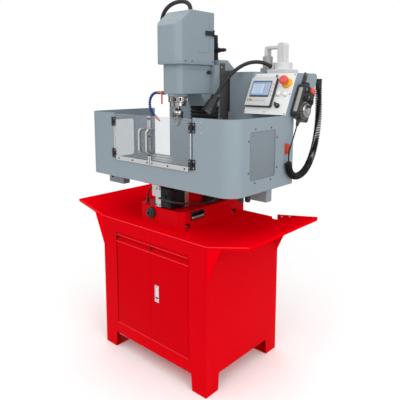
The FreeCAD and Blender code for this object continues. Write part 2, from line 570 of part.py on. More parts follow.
def hose_elbow():
    """Elbow gland on the column's left side that takes the motor hose."""
    end = V(MOTOR_HOSE[-1])
    back = (end - V(MOTOR_HOSE[-2])).normalize()
    foot = end + back * 30
    neck = rod(end, foot, HOSE_GLAND_R)
    seat = -COL_HALF_W - COVER_PLATE_T
    return fuse(neck, rod((seat, foot.y, foot.z), (foot.x - 6, foot.y, foot.z), HOSE_GLAND_R))


def console_rear_y(z):
    return CON_Y0 + CON_DEPTH + (z - ENC_Z1) * CON_LEAN / (CON_TOP - ENC_Z1)


def coil_gland():
    """Downward socket on the console's rear face for the pendant's curly cord."""
    x, y, z = COIL[-1]
    z1 = z + 28
    return side_prism([(console_rear_y(z), z), (y + 16, z), (y + 16, z1), (console_rear_y(z1), z1)],
                      CON_X1 - 24, CON_X1)


def lead_clip():
    """Clip on the enclosure's right wall that the pendant lead rests against."""
    x = min(point[0] for point in LEAD) - LEAD_D / 2 - SEAT
    _, y, z = LEAD[2]
    return box(ENC_HALF_W, x, y - 13, y + 11, z - 23, z + 22)


def pendant_holder():
    """Back plate on the console's side, with a hook over the pendant's top."""
    plate = box(-30, 30, 10, PENDANT_HIGH + 22, CON_X1 - PENDANT_AT.x, -SEAT)
    hook = box(-9, 9, PENDANT_HIGH + SEAT, PENDANT_HIGH + 22, -SEAT, PENDANT_T * 0.6)
    return on_pendant(fuse(plate, hook))


def fasteners():
    """Screws and bolts fixed to the frame: tray, column plates, windows, base feet."""
    shapes = []
    for side in (-1, 1):
        for x in (CAB_HALF_W + 25.5, CAB_HALF_W + 68.5):
            z = TRAY_Z + REAR_LIP / 2 + (x - CAB_HALF_W) * WING_SLOPE
            shapes.append(screw_head((side * x, WING_REAR - SHEET, z), -Y_AXIS, 5, 4))
        for y, top in ((COL_Y0 + 12, PLATE_TOPS[0]), (COL_Y1 - 26, PLATE_TOPS[1])):
            for z in (top - 20, (top + PLATE_Z0) / 2, PLATE_Z0 + 60):
                place = (side * (COL_HALF_W + COVER_PLATE_T), y, z)
                shapes.append(screw_head(place, X_AXIS * side, 4, 2.5))
        for y, z in window_screw_places():
            shapes.append(screw_head((side * ENC_HALF_W, y, z), X_AXIS * side, 3.5, 2.5))
        for y in BASE_BOLT_Y:
            shapes.append(hex_bolt((side * BASE_BOLT_X, y, TRAY_Z + POCKET_FOOT), 13, 8))
    return group(shapes)


def window_screw_places():
    edge = 9.0
    sides = [(y, z) for y in (WINDOW_Y0 - edge, WINDOW_Y1 + edge) for z in (WINDOW_Z0 + 35, WINDOW_Z1 - 35)]
    ends = [(y, z) for z in (WINDOW_Z0 - edge, WINDOW_Z1 + edge) for y in (WINDOW_Y0 + 35, WINDOW_Y1 - 35)]
    return sides + ends


def z_screw():
    return rod((0, Z_SCREW_Y, BASE_TOP + 55), (0, Z_SCREW_Y, COL_TOP - SEAT), Z_SCREW_R)


def y_screw():
    return rod((Y_SCREW_X, Y_MOTOR_Y1 + SEAT, Y_SCREW_Z), (Y_SCREW_X, COL_Y0 - 10, Y_SCREW_Z), Y_SCREW_R)


def x_screw():
    x1 = TABLE_HALF_W + END_T
    return rod((-x1, SPINDLE_Y, X_SCREW_Z), (x1 - SEAT, SPINDLE_Y, X_SCREW_Z), X_SCREW_R)


def saddle():
    """Saddle that wraps the deck's sides and carries the nuts of the two table screws."""
    y0, y1 = SPINDLE_Y - SADDLE_HALF_D, SPINDLE_Y + SADDLE_HALF_D
    plate = box(-SADDLE_HALF_W, SADDLE_HALF_W, y0, y1, DECK_Z1 + SEAT, SADDLE_TOP)
    gib = box(DECK_HALF_W + SEAT, SADDLE_HALF_W, y0, y1, ENC_Z0 + SHEET + 4, DECK_Z1 + 1)
    y_nut = box(Y_SCREW_X - 20, Y_SCREW_X + 20, y1 - 20, y1, Y_SCREW_Z - 17, DECK_Z1 + 1)
    x_nut = box(-25, 25, SPINDLE_Y - 18, SPINDLE_Y + 18, SADDLE_TOP - 1, X_SCREW_Z + X_SCREW_R + 2)
    bores = [rod((Y_SCREW_X, y1 - 30, Y_SCREW_Z), (Y_SCREW_X, y1 + 10, Y_SCREW_Z), Y_SCREW_R + RUN_FIT),
             rod((-30, SPINDLE_Y, X_SCREW_Z), (30, SPINDLE_Y, X_SCREW_Z), X_SCREW_R + RUN_FIT)]
    return fuse(plate, gib, mirror_x(gib), y_nut, x_nut).cut(bores)


def table():
    """Slotted table with its end plates and the screw groove underneath."""
    half_w, y0, y1 = TABLE_HALF_W, SPINDLE_Y - TABLE_HALF_D, SPINDLE_Y + TABLE_HALF_D
    slab = box(-half_w, half_w, y0, y1, TABLE_Z0, TABLE_TOP)
    groove = box(-half_w, half_w, SPINDLE_Y - 20, SPINDLE_Y + 20, TABLE_Z0 - 1, X_SCREW_Z + X_SCREW_R + 3.5)
    cuts = [groove]
    for k in (-1, 0, 1):
        y, floor = SPINDLE_Y + k * SLOT_PITCH, TABLE_TOP - SLOT_DEPTH
        cuts.append(box(-half_w - 1, half_w + 1, y - SLOT_W / 2, y + SLOT_W / 2, floor, TABLE_TOP + 1))
        cuts.append(box(-half_w - 1, half_w + 1, y - SLOT_FOOT_W / 2, y + SLOT_FOOT_W / 2, floor,
                        floor + SLOT_FOOT_H))
    ends = [box(x, x + END_T, y0, y1, TABLE_Z0, TABLE_TOP - SLOT_DEPTH - 1)
            for x in (-half_w - END_T, half_w)]
    bore = rod((-half_w - END_T - 1, SPINDLE_Y, X_SCREW_Z), (half_w + END_T + 1, SPINDLE_Y, X_SCREW_Z),
               X_SCREW_R + RUN_FIT)
    return fuse(slab.cut(cuts), *ends).cut(bore)


def x_motor():
    x0, half = TABLE_HALF_W + END_T, X_MOTOR_HALF
    body = box(x0, x0 + X_MOTOR_L, SPINDLE_Y - half, SPINDLE_Y + half, X_SCREW_Z - half, X_SCREW_Z + half)
    plug = rod((x0 + X_MOTOR_L - 18, SPINDLE_Y, X_SCREW_Z + half), (x0 + X_MOTOR_L - 18, SPINDLE_Y,
                                                                   X_SCREW_Z + half + 16), 9)
    return fuse(body, plug)


def z_slide():
    """Slide plate between head and column, with its sloped apron and the feed nut behind."""
    plate = box(-COL_HALF_W, COL_HALF_W, HEAD_Y1, COL_Y0 - SEAT, SLIDE_Z0, SLIDE_Z1)
    slope = [(HEAD_Y1, HEAD_Z0), (HEAD_Y1, SLIDE_Z0), (HEAD_Y1 - 22, SLIDE_Z0), (HEAD_Y1 - 62, HEAD_Z0)]
    apron = side_prism(slope, -HEAD_HALF_W + 4, HEAD_HALF_W - 4)
    nut_z0, nut_z1 = HEAD_Z0 + 38, HEAD_Z0 + 78
    nut = box(-20, 20, COL_Y0 - 1, Z_SCREW_Y + 18, nut_z0, nut_z1)
    bore = rod((0, Z_SCREW_Y, nut_z0 - 10), (0, Z_SCREW_Y, nut_z1 + 10), Z_SCREW_R + RUN_FIT)
    return fuse(plate, apron, nut).cut(bore)


def head_casting():
    """Lower head with the cover's base plate, the spindle bore and the nose flange."""
    w = HEAD_HALF_W
    body = plan_prism([(-w, HEAD_Y0), (w, HEAD_Y0), (w, HEAD_Y1), (-w, HEAD_Y1)], HEAD_Z0, HEAD_Z1 - 1,
                      [25, 25, 0, 0])
    plate = cover_plan(0, HEAD_Z1 - HEAD_PLATE_T, HEAD_Z1)
    flange = rod((0, SPINDLE_Y, HEAD_Z0 - NOSE_FLANGE_T), (0, SPINDLE_Y, HEAD_Z0 + 1), NOSE_R + 2)
    bore = rod((0, SPINDLE_Y, HEAD_Z0 - 20), (0, SPINDLE_Y, HEAD_Z1 + 1), SPINDLE_R + RUN_FIT)
    return fuse(body, plate, flange).cut(bore)


def cover_plan(inset, z0, z1):
    w, y0, y1 = COVER_HALF_W - inset, COVER_Y0 + inset, COVER_Y1 - inset
    front, rear = COVER_R - inset, 8 - inset
    return plan_prism([(-w, y0), (w, y0), (w, y1), (-w, y1)], z0, z1, [front, front, rear, rear])


def cover_solid(inset):
    """Cover volume, drawn in by an inset: rounded plan cut by the sloped brow."""
    top, x = COVER_TOP - inset, COVER_HALF_W + 1
    bottom = HEAD_Z1 - (1 if inset else 0)
    brow = [(COVER_Y0 - 1, bottom), (COVER_Y1 + 1, bottom), (COVER_Y1 + 1, top), (COVER_BROW_Y, top),
            (COVER_Y0 - 1, COVER_BROW_Z - inset)]
    return cover_plan(inset, bottom, top).common(side_prism(brow, -x, x))


HOSE_GLAND_R = 14.0


def motor_cover():
    """Sheet-metal motor hood, open underneath, with the cable gland on its top."""
    x, y, z = MOTOR_HOSE[0]
    gland = rod((x, y, COVER_TOP - 1), (x, y, z), HOSE_GLAND_R)
    return fuse(cover_solid(0).cut(cover_solid(SHEET)), gland)


LATCH_Y, LATCH_Z, LATCH_L, LATCH_H, LATCH_PIN_R = COVER_Y1 - 13.0, COVER_TOP - 94.0, 54.0, 20.0, 2.0


def head_fittings():
    """Cover screws, side knob and the latch's pin bracket on the head."""
    shapes = []
    for side in (-1, 1):
        for y in COVER_SCREW_YS:
            shapes.append(screw_head((side * COVER_HALF_W, y, HEAD_Z1 + 6), X_AXIS * side, 3.5, 2.5))
    y, z = HEAD_Y1 - 21, HEAD_Z1 - 42
    knob = fuse(rod((HEAD_HALF_W, y, z), (HEAD_HALF_W + 6, y, z), 5),
                rod((HEAD_HALF_W + 6, y, z), (HEAD_HALF_W + 15, y, z), 9))
    x = COVER_HALF_W + 5
    ears = [box(COVER_HALF_W, x + 4, LATCH_Y - 5, LATCH_Y + 5, z, z + 4)
            for z in (LATCH_Z - LATCH_H / 2 - 4 - SEAT, LATCH_Z + LATCH_H / 2 + SEAT)]
    pin = rod((x, LATCH_Y, LATCH_Z - LATCH_H / 2 - 4), (x, LATCH_Y, LATCH_Z + LATCH_H / 2 + 4), LATCH_PIN_R)
    return group(shapes + [knob, fuse(ears[0], ears[1], pin)])


def cover_latch():
    """Black latch lever that swings off the cover about its rear pin."""
    x = COVER_HALF_W + 5
    lever = round_box(COVER_HALF_W + SEAT, x + 4, LATCH_Y - LATCH_L, LATCH_Y, LATCH_Z - LATCH_H / 2,
                      LATCH_Z + LATCH_H / 2, 3)
    barrel = rod((x, LATCH_Y, LATCH_Z - LATCH_H / 2), (x, LATCH_Y, LATCH_Z + LATCH_H / 2), 4)
    hole = rod((x, LATCH_Y, LATCH_Z - LATCH_H), (x, LATCH_Y, LATCH_Z + LATCH_H), LATCH_PIN_R + RUN_FIT)
    return fuse(lever, barrel).cut(hole)


def spindle():
    """Spindle shaft, drive-slotted nose and the chuck's arbor."""
    top, nose_top = HEAD_Z1 - 2, HEAD_Z0 - NOSE_FLANGE_T - 0.5
    shaft = rod((0, SPINDLE_Y, nose_top - 1), (0, SPINDLE_Y, top), SPINDLE_R)
    rim = rod((0, SPINDLE_Y, NOSE_Z0), (0, SPINDLE_Y, NOSE_Z0 + 18), NOSE_R - 6)
    nose = rod((0, SPINDLE_Y, NOSE_Z0 + 18), (0, SPINDLE_Y, nose_top), NOSE_R)
    slots = [box(x - 8, x + 8, SPINDLE_Y - 8, SPINDLE_Y + 8, NOSE_Z0 - 1, NOSE_Z0 + 10) for x in (-36, 36)]
    arbor = rod((0, SPINDLE_Y, NOSE_Z0 - 11), (0, SPINDLE_Y, NOSE_Z0 + 1), 9)
    return fuse(fuse(shaft, rim, nose).cut(slots), arbor)


def drill_chuck():
    """Keyless chuck turned as one profile, with three jaws in its mouth."""
    r, tip, top = CHUCK_R, CHUCK_TIP_Z, NOSE_Z0 - 11
    mouth = 7.0
    profile = [(mouth, tip + 3), (mouth + 2, tip + 3), (r - 5, tip + 28), (r - 2, tip + 30),
               (r - 2, tip + 36), (r, tip + 38), (r, top - 14), (r - 6, top - 4), (r - 8, top),
               (0, top), (0, tip + 30), (mouth, tip + 30)]
    face = Part.Face(outline([(x, 0, z) for x, z in profile]))
    body = face.revolve(V(0, 0, 0), Z_AXIS, 360)
    body.translate(V(0, SPINDLE_Y, 0))
    jaws = []
    for k in range(3):
        x, y = 4.0 * cos(k * 2 * pi / 3), SPINDLE_Y + 4.0 * sin(k * 2 * pi / 3)
        jaws.append(rod((x, y, tip), (x, y, tip + 31), 2.4))
    return fuse(body, *jaws)


COOL_Z = BLUE_HOSE[0][2]
LEVER_X = -HEAD_HALF_W - 14.0
LEVER_PIN_R = 3.0


def coolant_fittings():
    """Brass valve on the head's left side and the hose's orange nozzle."""
    pipe = rod((-HEAD_HALF_W, COOL_Y, COOL_Z), (BLUE_HOSE[0][0], COOL_Y, COOL_Z), 6)
    body = box(LEVER_X - 9, LEVER_X + 9, COOL_Y - 9, COOL_Y + 9, COOL_Z - 9, COOL_Z + 9)
    stem = rod((LEVER_X, COOL_Y, COOL_Z), (LEVER_X, COOL_Y - 16, COOL_Z), LEVER_PIN_R)
    nut = rod((BLUE_HOSE[0][0] + 12, COOL_Y, COOL_Z), (BLUE_HOSE[0][0], COOL_Y, COOL_Z), 9)
    run = (V(BLUE_HOSE[-1]) - V(BLUE_HOSE[-2])).normalize()
    mouth = V(BLUE_HOSE[-1])
    nozzle = cone(mouth, mouth + run * 34, 7, 3.5)
    return group([fuse(pipe, body, stem, nut), nozzle.cut(cone(mouth - run, mouth + run * 35, 4, 2))])


def valve_lever():
    """Red quarter-turn lever on the valve's stem."""
    y0, y1 = COOL_Y - 14, COOL_Y - 9 - SEAT
    hub = rod((LEVER_X, y1, COOL_Z), (LEVER_X, y0, COOL_Z), 7)
    arm = box(LEVER_X - 4, LEVER_X + 4, y0, y0 + 3, COOL_Z - 52, COOL_Z)
    hole = rod((LEVER_X, COOL_Y, COOL_Z), (LEVER_X, COOL_Y - 20, COOL_Z), LEVER_PIN_R + RUN_FIT)
    return fuse(hub, arm).cut(hole)


HOSE_SEGMENTS = 15


def coolant_hose():
    """Segmented blue hose: each link is a ruled loft through four circles, bored through."""
    wire = route_wire("coolant_hose", BLUE_HOSE)
    count = 4 * HOSE_SEGMENTS + 1
    points = wire.discretize(Number=count)
    sizes = (0.72, 1.0, 1.0, 0.86)
    rings, bores = [], []
    for i, point in enumerate(points):
        run = points[min(i + 1, count - 1)] - points[max(i - 1, 0)]
        rings.append(ring(point, run, BLUE_HOSE_D / 2 * sizes[i % 4]))
        bores.append(ring(point, run, BLUE_HOSE_D / 4))
    return Part.makeLoft(rings, True, True).cut(Part.makeLoft(bores[::4], True, True))


def ring(centre, normal, r):
    """Circle whose seam keeps a steady direction along Y."""
    circle = Part.Circle(centre, normal, r)
    circle.XAxis = Y_AXIS
    return Part.Wire(circle.toShape())


def z_bellows():
    """Pleated way cover below the slide: ruled loft through rectangles, wide and narrow in turn."""
    z0, z1 = BELLOWS_Z0, SLIDE_Z0 - SEAT
    rear = COL_Y0 - SEAT
    wires = []
    for k in range(2 * PLEATS + 1):
        inset = 0 if k % 2 else PLEAT_IN
        w, y0, z = BELLOWS_HALF_W - inset, HEAD_Y1 + 1 + inset, z0 + (z1 - z0) * k / (2 * PLEATS)
        wires.append(outline([(-w, y0, z), (w, y0, z), (w, rear, z), (-w, rear, z)]))
    return Part.makeLoft(wires, True, True)


def enclosure_plan(inset, z0, z1):
    w, y0, r = ENC_HALF_W - inset, ENC_Y0 + inset, ENC_R - inset
    return plan_prism([(-w, ENC_Y1), (-w, y0), (w, y0), (w, ENC_Y1)], z0, z1, [0, r, r, 0])


REAR_RETURN = 22.0


def enclosure_wall():
    """One bent sheet: left side, front with the doorway, right side, windows cut in both sides."""
    outer, inner = enclosure_plan(0, ENC_Z0, ENC_Z1), enclosure_plan(SHEET, ENC_Z0 - 1, ENC_Z1 + 1)
    inner = inner.fuse(box(-ENC_HALF_W + SHEET, ENC_HALF_W - SHEET, 0, ENC_Y1 + 1, ENC_Z0 - 1, ENC_Z1 + 1))
    flap = box(-ENC_HALF_W, -ENC_HALF_W + REAR_RETURN, ENC_Y1 - SHEET, ENC_Y1, ENC_Z0 + SHEET, ENC_Z1)
    doorway = box(-DOORWAY_HALF_W, DOORWAY_HALF_W, ENC_Y0 - 1, ENC_Y0 + SHEET + 1, DOORWAY_Z0, ENC_Z1 + 1)
    window = side_prism([(WINDOW_Y0, WINDOW_Z0), (WINDOW_Y1, WINDOW_Z0), (WINDOW_Y1, WINDOW_Z1),
                         (WINDOW_Y0, WINDOW_Z1)], -ENC_HALF_W - 1, ENC_HALF_W + 1, [WINDOW_R] * 4)
    return fuse(outer.cut(inner), flap).cut([doorway, window])


UNDER_BOXES = ((10 - ENC_HALF_W, 125 - ENC_HALF_W, -135, -95, ENC_Z0 - 67),
               (ENC_HALF_W - 125, ENC_HALF_W - 15, 2, 40, ENC_Z0 - 57))


def enclosure_floor():
    """Floor sheet cut round the base's deck, its rear walls, the left one a taller splash plate, and hung boxes."""
    floor = enclosure_plan(SHEET, ENC_Z0, ENC_Z0 + SHEET)
    cut = box(-FLOOR_CUT, FLOOR_CUT, DECK_Y0 - 3, ENC_Y1 + 1, ENC_Z0 - 1, ENC_Z0 + SHEET + 1)
    y0, y1, z0 = ENC_Y1 - SHEET, ENC_Y1, ENC_Z0 + SHEET / 2
    left = box(-REAR_GAP_X, -FLOOR_CUT, y0, y1, z0, ENC_Z1 + SPLASH_RISE)
    right = box(FLOOR_CUT, ENC_HALF_W - SHEET, y0, y1, z0, ENC_Z1)
    boxes = []
    for x0, x1, by0, by1, bz0 in UNDER_BOXES:
        hollow = box(x0 + SHEET, x1 - SHEET, by0 + SHEET, by1 - SHEET, bz0 + SHEET, ENC_Z0)
        hole = rod((x0 + 26, by0 - 1, bz0 + 30), (x0 + 26, by0 + SHEET + 1, bz0 + 30), 8)
        boxes.append(box(x0, x1, by0, by1, bz0, ENC_Z0 + SHEET / 2).cut([hollow, hole]))
    return fuse(floor.cut(cut), left, right, *boxes)


def side_windows():
    """Clear panes inside both side walls, larger than their openings all round."""
    over, t = 14.0, 4.0
    x1 = ENC_HALF_W - SHEET
    pane = box(x1 - t, x1, WINDOW_Y0 - over, WINDOW_Y1 + over, WINDOW_Z0 - over, WINDOW_Z1 + over)
    return both_sides(pane)


PANE_Y0 = ENC_Y0 - PANE_T + 1.5
HINGE_Y = ENC_Y0 - 8.0


def door_pane():
    """Right-hand clear door, standing in the doorway."""
    return box(PANE_GAP / 3, DOORWAY_HALF_W - PANE_GAP, PANE_Y0, PANE_Y0 + PANE_T,
               DOORWAY_Z0 + PANE_GAP, ENC_Z1 - 4)


def door_trim():
    """Aluminium rail and meeting strip on the door's face, and its bridge handle."""
    x0, x1, y1 = PANE_GAP / 3, DOORWAY_HALF_W - HINGE_W - 1, PANE_Y0
    y0 = y1 - RAIL_T
    z0 = DOORWAY_Z0 - 5
    rail = box(x0, x1, y0, y1, z0, z0 + RAIL_H)
    strip = box(x0, x0 + 9, y0, y1, z0 + RAIL_H - 1, ENC_Z1 - 4)
    bar = HANDLE_BAR
    hx0, hx1, hy0 = 18.0, 18.0 + bar, y1 - HANDLE_OUT
    grip = side_prism([(y1, HANDLE_Z0), (hy0 + bar, HANDLE_Z0), (hy0, HANDLE_Z0 + bar),
                       (hy0, HANDLE_Z1 - bar), (hy0 + bar, HANDLE_Z1), (y1, HANDLE_Z1)], hx0, hx1)
    gap = side_prism([(y1 + 1, HANDLE_Z0 + bar), (hy0 + 1.4 * bar, HANDLE_Z0 + bar),
                      (hy0 + bar, HANDLE_Z0 + 1.5 * bar), (hy0 + bar, HANDLE_Z1 - 1.5 * bar),
                      (hy0 + 1.4 * bar, HANDLE_Z1 - bar), (y1 + 1, HANDLE_Z1 - bar)], hx0 - 1, hx1 + 1)
    return group([fuse(rail, strip), grip.cut(gap)])


def hinge_thirds(z):
    third = HINGE_H / 3
    return (z - HINGE_H / 2, z - third / 2, z + third / 2, z + HINGE_H / 2)


def moving_leaf(z):
    """Hinge leaf on the door's face, with the outer thirds of the knuckle."""
    low, a, b, high = hinge_thirds(z)
    x = DOORWAY_HALF_W
    leaf = box(x - HINGE_W, x, PANE_Y0 - HINGE_T, PANE_Y0, low, high)
    barrel = rod((x, HINGE_Y, low), (x, HINGE_Y, high), KNUCKLE_R)
    room = box(x - KNUCKLE_R - 1, x + KNUCKLE_R + 1, HINGE_Y - 10, ENC_Y0 + 1, a - SEAT, b + SEAT)
    hole = rod((x, HINGE_Y, low - 1), (x, HINGE_Y, high + 1), HINGE_PIN_R + RUN_FIT)
    beyond = box(x + KNUCKLE_R, x + HINGE_W, PANE_Y0 - 9, PANE_Y0 + 9, low, high)
    return fuse(leaf, barrel).cut([room, hole, beyond])


def fixed_leaf(z):
    """Hinge leaf on the enclosure's front, with the middle knuckle and the pin."""
    low, a, b, high = hinge_thirds(z)
    x = DOORWAY_HALF_W
    leaf = box(x, x + HINGE_W, ENC_Y0 - HINGE_T, ENC_Y0, low, high)
    rooms = [box(x - 1, x + KNUCKLE_R + 1, HINGE_Y - 10, ENC_Y0 + 1, z0, z1)
             for z0, z1 in ((low - 1, a), (b, high + 1))]
    barrel = rod((x, HINGE_Y, a), (x, HINGE_Y, b), KNUCKLE_R)
    pin = rod((x, HINGE_Y, low), (x, HINGE_Y, high), HINGE_PIN_R)
    return fuse(leaf.cut(rooms), barrel, pin)


def control_box():
    """Closed sheet-metal control cabinet behind the enclosure, on a bracket from the column."""
    shell = box(BOX_X0, BOX_X1, ENC_Y1, BOX_Y1, ENC_Z0, BOX_TOP)
    inside = box(BOX_X0 + SHEET, BOX_X1 - SHEET, ENC_Y1 + SHEET, BOX_Y1 - SHEET,
                 ENC_Z0 + SHEET, BOX_TOP - SHEET)
    bracket = box(COL_HALF_W, BOX_X0 + 1, COL_Y1 - 13, COL_Y1 - 1, ENC_Z0 + 38, BOX_TOP - 52)
    return fuse(shell.cut(inside), bracket)


def console_profile(inset, lead):
    """Leaning (y, z) outline of the console, its front moved by lead towards the operator."""
    z0, z1 = ENC_Z1 + inset, CON_TOP - inset
    low = CON_Y0 + inset * CON_LEAN / (CON_TOP - ENC_Z1)
    high = CON_Y0 + CON_LEAN - inset * CON_LEAN / (CON_TOP - ENC_Z1)
    rear = CON_DEPTH - 1.2 * inset
    return [(low - lead, z0), (high - lead, z1), (high + rear, z1), (low + rear, z0)]


def console_box():
    """Leaning sheet-metal console, open at its front behind the panel."""
    back_off = PANEL_T / cos(radians(LEAN))
    outer = side_prism(console_profile(0, -back_off), CON_X0, CON_X1, [0, 0, CON_R, 0])
    inner = side_prism(console_profile(SHEET, 30), CON_X0 + SHEET, CON_X1 - SHEET, [0, 0, CON_R - SHEET, 0])
    return outer.cut(inner)


PANEL_H = (CON_TOP - ENC_Z1) / cos(radians(LEAN))


def console_panel():
    """White front plate of the console."""
    return on_panel(box(CON_X0, CON_X1, 1.5, PANEL_H, -PANEL_T, 0))


HMI_X0, HMI_X1, HMI_V0, HMI_V1, HMI_T = CON_X0 + 2.5, CON_X0 + 138.0, 33.0, 172.0, 18.0
SCREEN_X0, SCREEN_X1, SCREEN_V0, SCREEN_V1 = HMI_X0 + 15.5, HMI_X1 - 32.0, HMI_V0 + 53.0, HMI_V1 - 16.0
KEY_W, KEY_H, KEY_PITCH, KEY_RISE = 11.0, 10.0, 14.0, 0.8
SOFT_KEY_W, SOFT_KEY_H, SOFT_KEY_PITCH = 14.0, 11.0, 17.0


def hmi_unit():
    """Display unit on the panel: bezel with the sunk screen, soft keys beside and below it."""
    bezel = round_box(HMI_X0, HMI_X1, HMI_V0, HMI_V1, 0, HMI_T, 4)
    recess = box(SCREEN_X0, SCREEN_X1, SCREEN_V0, SCREEN_V1, HMI_T - 1.5, HMI_T + 1)
    keys = []
    for k in range(7):
        x, v = HMI_X0 + 9.5 + KEY_PITCH * k, HMI_V0 + 23
        keys.append(box(x, x + KEY_W, v, v + KEY_H, HMI_T - 1, HMI_T + KEY_RISE))
    for k in range(4):
        x, v = SCREEN_X1 + 8, SCREEN_V0 + 4 + SOFT_KEY_PITCH * k
        keys.append(box(x, x + SOFT_KEY_W, v, v + SOFT_KEY_H, HMI_T - 1, HMI_T + KEY_RISE))
    return on_panel(fuse(bezel.cut(recess), *keys))


COLLAR_H, STEM_R, CAP_R = 16.0, 9.0, 20.0
BEZEL_H = 6.0
KEY_R = 5.0


def panel_bezels():
    """Emergency-stop collar, two button rings, pilot lamp and key-switch barrel on the panel."""
    collar = cone((ESTOP_X, ESTOP_V, 0), (ESTOP_X, ESTOP_V, COLLAR_H), 24, 20)
    stem_bore = rod((ESTOP_X, ESTOP_V, -1), (ESTOP_X, ESTOP_V, COLLAR_H + 1), STEM_R + RUN_FIT)
    shapes = [collar.cut(stem_bore)]
    for x in BUTTON_XS:
        outer = rod((x, BUTTON_V, 0), (x, BUTTON_V, BEZEL_H), BUTTON_R + 3)
        shapes.append(outer.cut(rod((x, BUTTON_V, -1), (x, BUTTON_V, BEZEL_H + 1), BUTTON_R + RUN_FIT)))
    shapes.append(cone((PILOT_X, PILOT_V, 0), (PILOT_X, PILOT_V, 7), 6, 5))
    barrel = rod((KEY_X, KEY_V, 0), (KEY_X, KEY_V, 9), 11)
    shapes.append(barrel.cut(rod((KEY_X, KEY_V, -1), (KEY_X, KEY_V, 10), KEY_R + RUN_FIT)))
    return on_panel(group(shapes))


def estop_cap():
    """Red mushroom cap and its stem."""
    stem = rod((ESTOP_X, ESTOP_V, 7), (ESTOP_X, ESTOP_V, 28), STEM_R)
    cap = rod((ESTOP_X, ESTOP_V, 27), (ESTOP_X, ESTOP_V, 40), CAP_R)
    crown = cone((ESTOP_X, ESTOP_V, 40), (ESTOP_X, ESTOP_V, 46), CAP_R, CAP_R - 6)
    return on_panel(fuse(stem, cap, crown))


def push_button(x):
    return on_panel(rod((x, BUTTON_V, 3.5), (x, BUTTON_V, BEZEL_H + 4), BUTTON_R))


def mode_key():
    """Key standing in the key switch."""
    shank = rod((KEY_X, KEY_V, 1), (KEY_X, KEY_V, 12), KEY_R)
    bow = box(KEY_X - 1.5, KEY_X + 1.5, KEY_V - 8, KEY_V + 8, 11, 32)
    return on_panel(fuse(shank, bow))


# Feet of the arm: seat height, half width and height of the flange, radius and height of the collar
ARM_FEET = {ARM_X0: (BOX_TOP, 26.0, 20.0, 24.0, 56.0), ARM_X1: (CON_TOP, 54.0, 21.0, 46.0, 32.0)}
ARM_STRAP, ARM_STRAP_DROP, ARM_CROWN_R = 15.0, 14.0, 14.0
LAMP_BOSS_R, LAMP_BOSS_L = 11.0, 40.0


def arm_foot(x):
    """Square flange with the round collar that stands on it."""
    top, half, flange_h, collar_r, collar_h = ARM_FEET[x]
    flange = box(x - half, x + half, ARM_Y - half, ARM_Y + half, top, top + flange_h)
    foot = top + flange_h
    return fuse(flange, rod((x, ARM_Y, foot), (x, ARM_Y, foot + collar_h), collar_r))


def arm_leg_z(x):
    top, _, flange_h, _, collar_h = ARM_FEET[x]
    return top + flange_h + collar_h


def support_arm():
    """White cable arm: a post on the console and a bent strap to the control box, with the lamp's boss."""
    y0, y1 = ARM_Y - ARM_HALF, ARM_Y + ARM_HALF
    strap_top, inner, outer = ARM_TOP - ARM_STRAP_DROP, ARM_X0 + ARM_STRAP / 2, ARM_X0 - ARM_STRAP / 2
    strap = [(outer, arm_leg_z(ARM_X0)), (outer, strap_top), (ARM_X1, strap_top),
             (ARM_X1, strap_top - ARM_STRAP), (inner, strap_top - ARM_STRAP), (inner, arm_leg_z(ARM_X0))]
    post = [(ARM_X1 - ARM_HALF, arm_leg_z(ARM_X1)), (ARM_X1 - ARM_HALF, ARM_TOP),
            (ARM_X1 + ARM_HALF, ARM_TOP), (ARM_X1 + ARM_HALF, arm_leg_z(ARM_X1))]
    bridge = front_prism(strap, y0, y1, [0, ARM_CROWN_R, 0, 0, ARM_CROWN_R / 3, 0])
    upright = front_prism(post, y0, y1, [0, ARM_CROWN_R, ARM_CROWN_R, 0])
    start = V(NECK[0])
    boss = rod(start, start + (start - V(NECK[1])).normalize() * LAMP_BOSS_L, LAMP_BOSS_R)
    return group([fuse(bridge, upright), arm_foot(ARM_X0), fuse(arm_foot(ARM_X1), boss)])


def lamp_neck():
    """Gooseneck from the arm's boss that holds the lamp over the work."""
    return cord("lamp_neck", NECK, NECK_D)


def lamp_head():
    """Black lamp head: socket and open shade."""
    start = V(NECK[-1])
    run = (start - V(NECK[-2])).normalize()
    socket = rod(start, start + run * LAMP_SOCKET_L, LAMP_SOCKET_R)
    shade = cone(start + run * (LAMP_SOCKET_L - 2), start + run * LAMP_L, LAMP_R - 3, LAMP_R)
    hollow = cone(start + run * (LAMP_SOCKET_L + 10), start + run * (LAMP_L + 1), LAMP_R - 6, LAMP_R - 3)
    return fuse(socket, shade).cut(hollow)


SELECTOR_V, SELECTOR_X, SELECTOR_R = 48.0, 22.0, 11.0
PENDANT_STOP_V = 92.0
DIAL_R = 30.0
KNOB_DEEP = 9.0
RELIEF_L = 30.0


def pendant_body():
    """Hand-wheel pendant: housing with the sockets of its knobs and the cord's strain relief."""
    t = PENDANT_T
    body = round_box(-PENDANT_HALF_W, PENDANT_HALF_W, PENDANT_LOW, PENDANT_HIGH, 0, t, 14)
    relief = cone((0, PENDANT_LOW + 1, t / 2), (0, PENDANT_LOW - RELIEF_L, t / 2), 10, 6)
    bores = [rod((x, y, t - KNOB_DEEP), (x, y, t + 1), r + RUN_FIT)
             for x, y, r in ((0, 0, 5), (-SELECTOR_X, SELECTOR_V, 4), (SELECTOR_X, SELECTOR_V, 4))]
    bores.append(rod((0, PENDANT_STOP_V, t - KNOB_DEEP), (0, PENDANT_STOP_V, t + 1), 6 + RUN_FIT))
    return on_pendant(fuse(body, relief).cut(bores))


def pendant_knob(x, y, r, shaft_r, high):
    """Round knob on a shaft in the pendant's face."""
    t = PENDANT_T
    shaft = rod((x, y, t - KNOB_DEEP + SEAT), (x, y, t + 1), shaft_r)
    return fuse(shaft, rod((x, y, t + SEAT), (x, y, t + high), r))


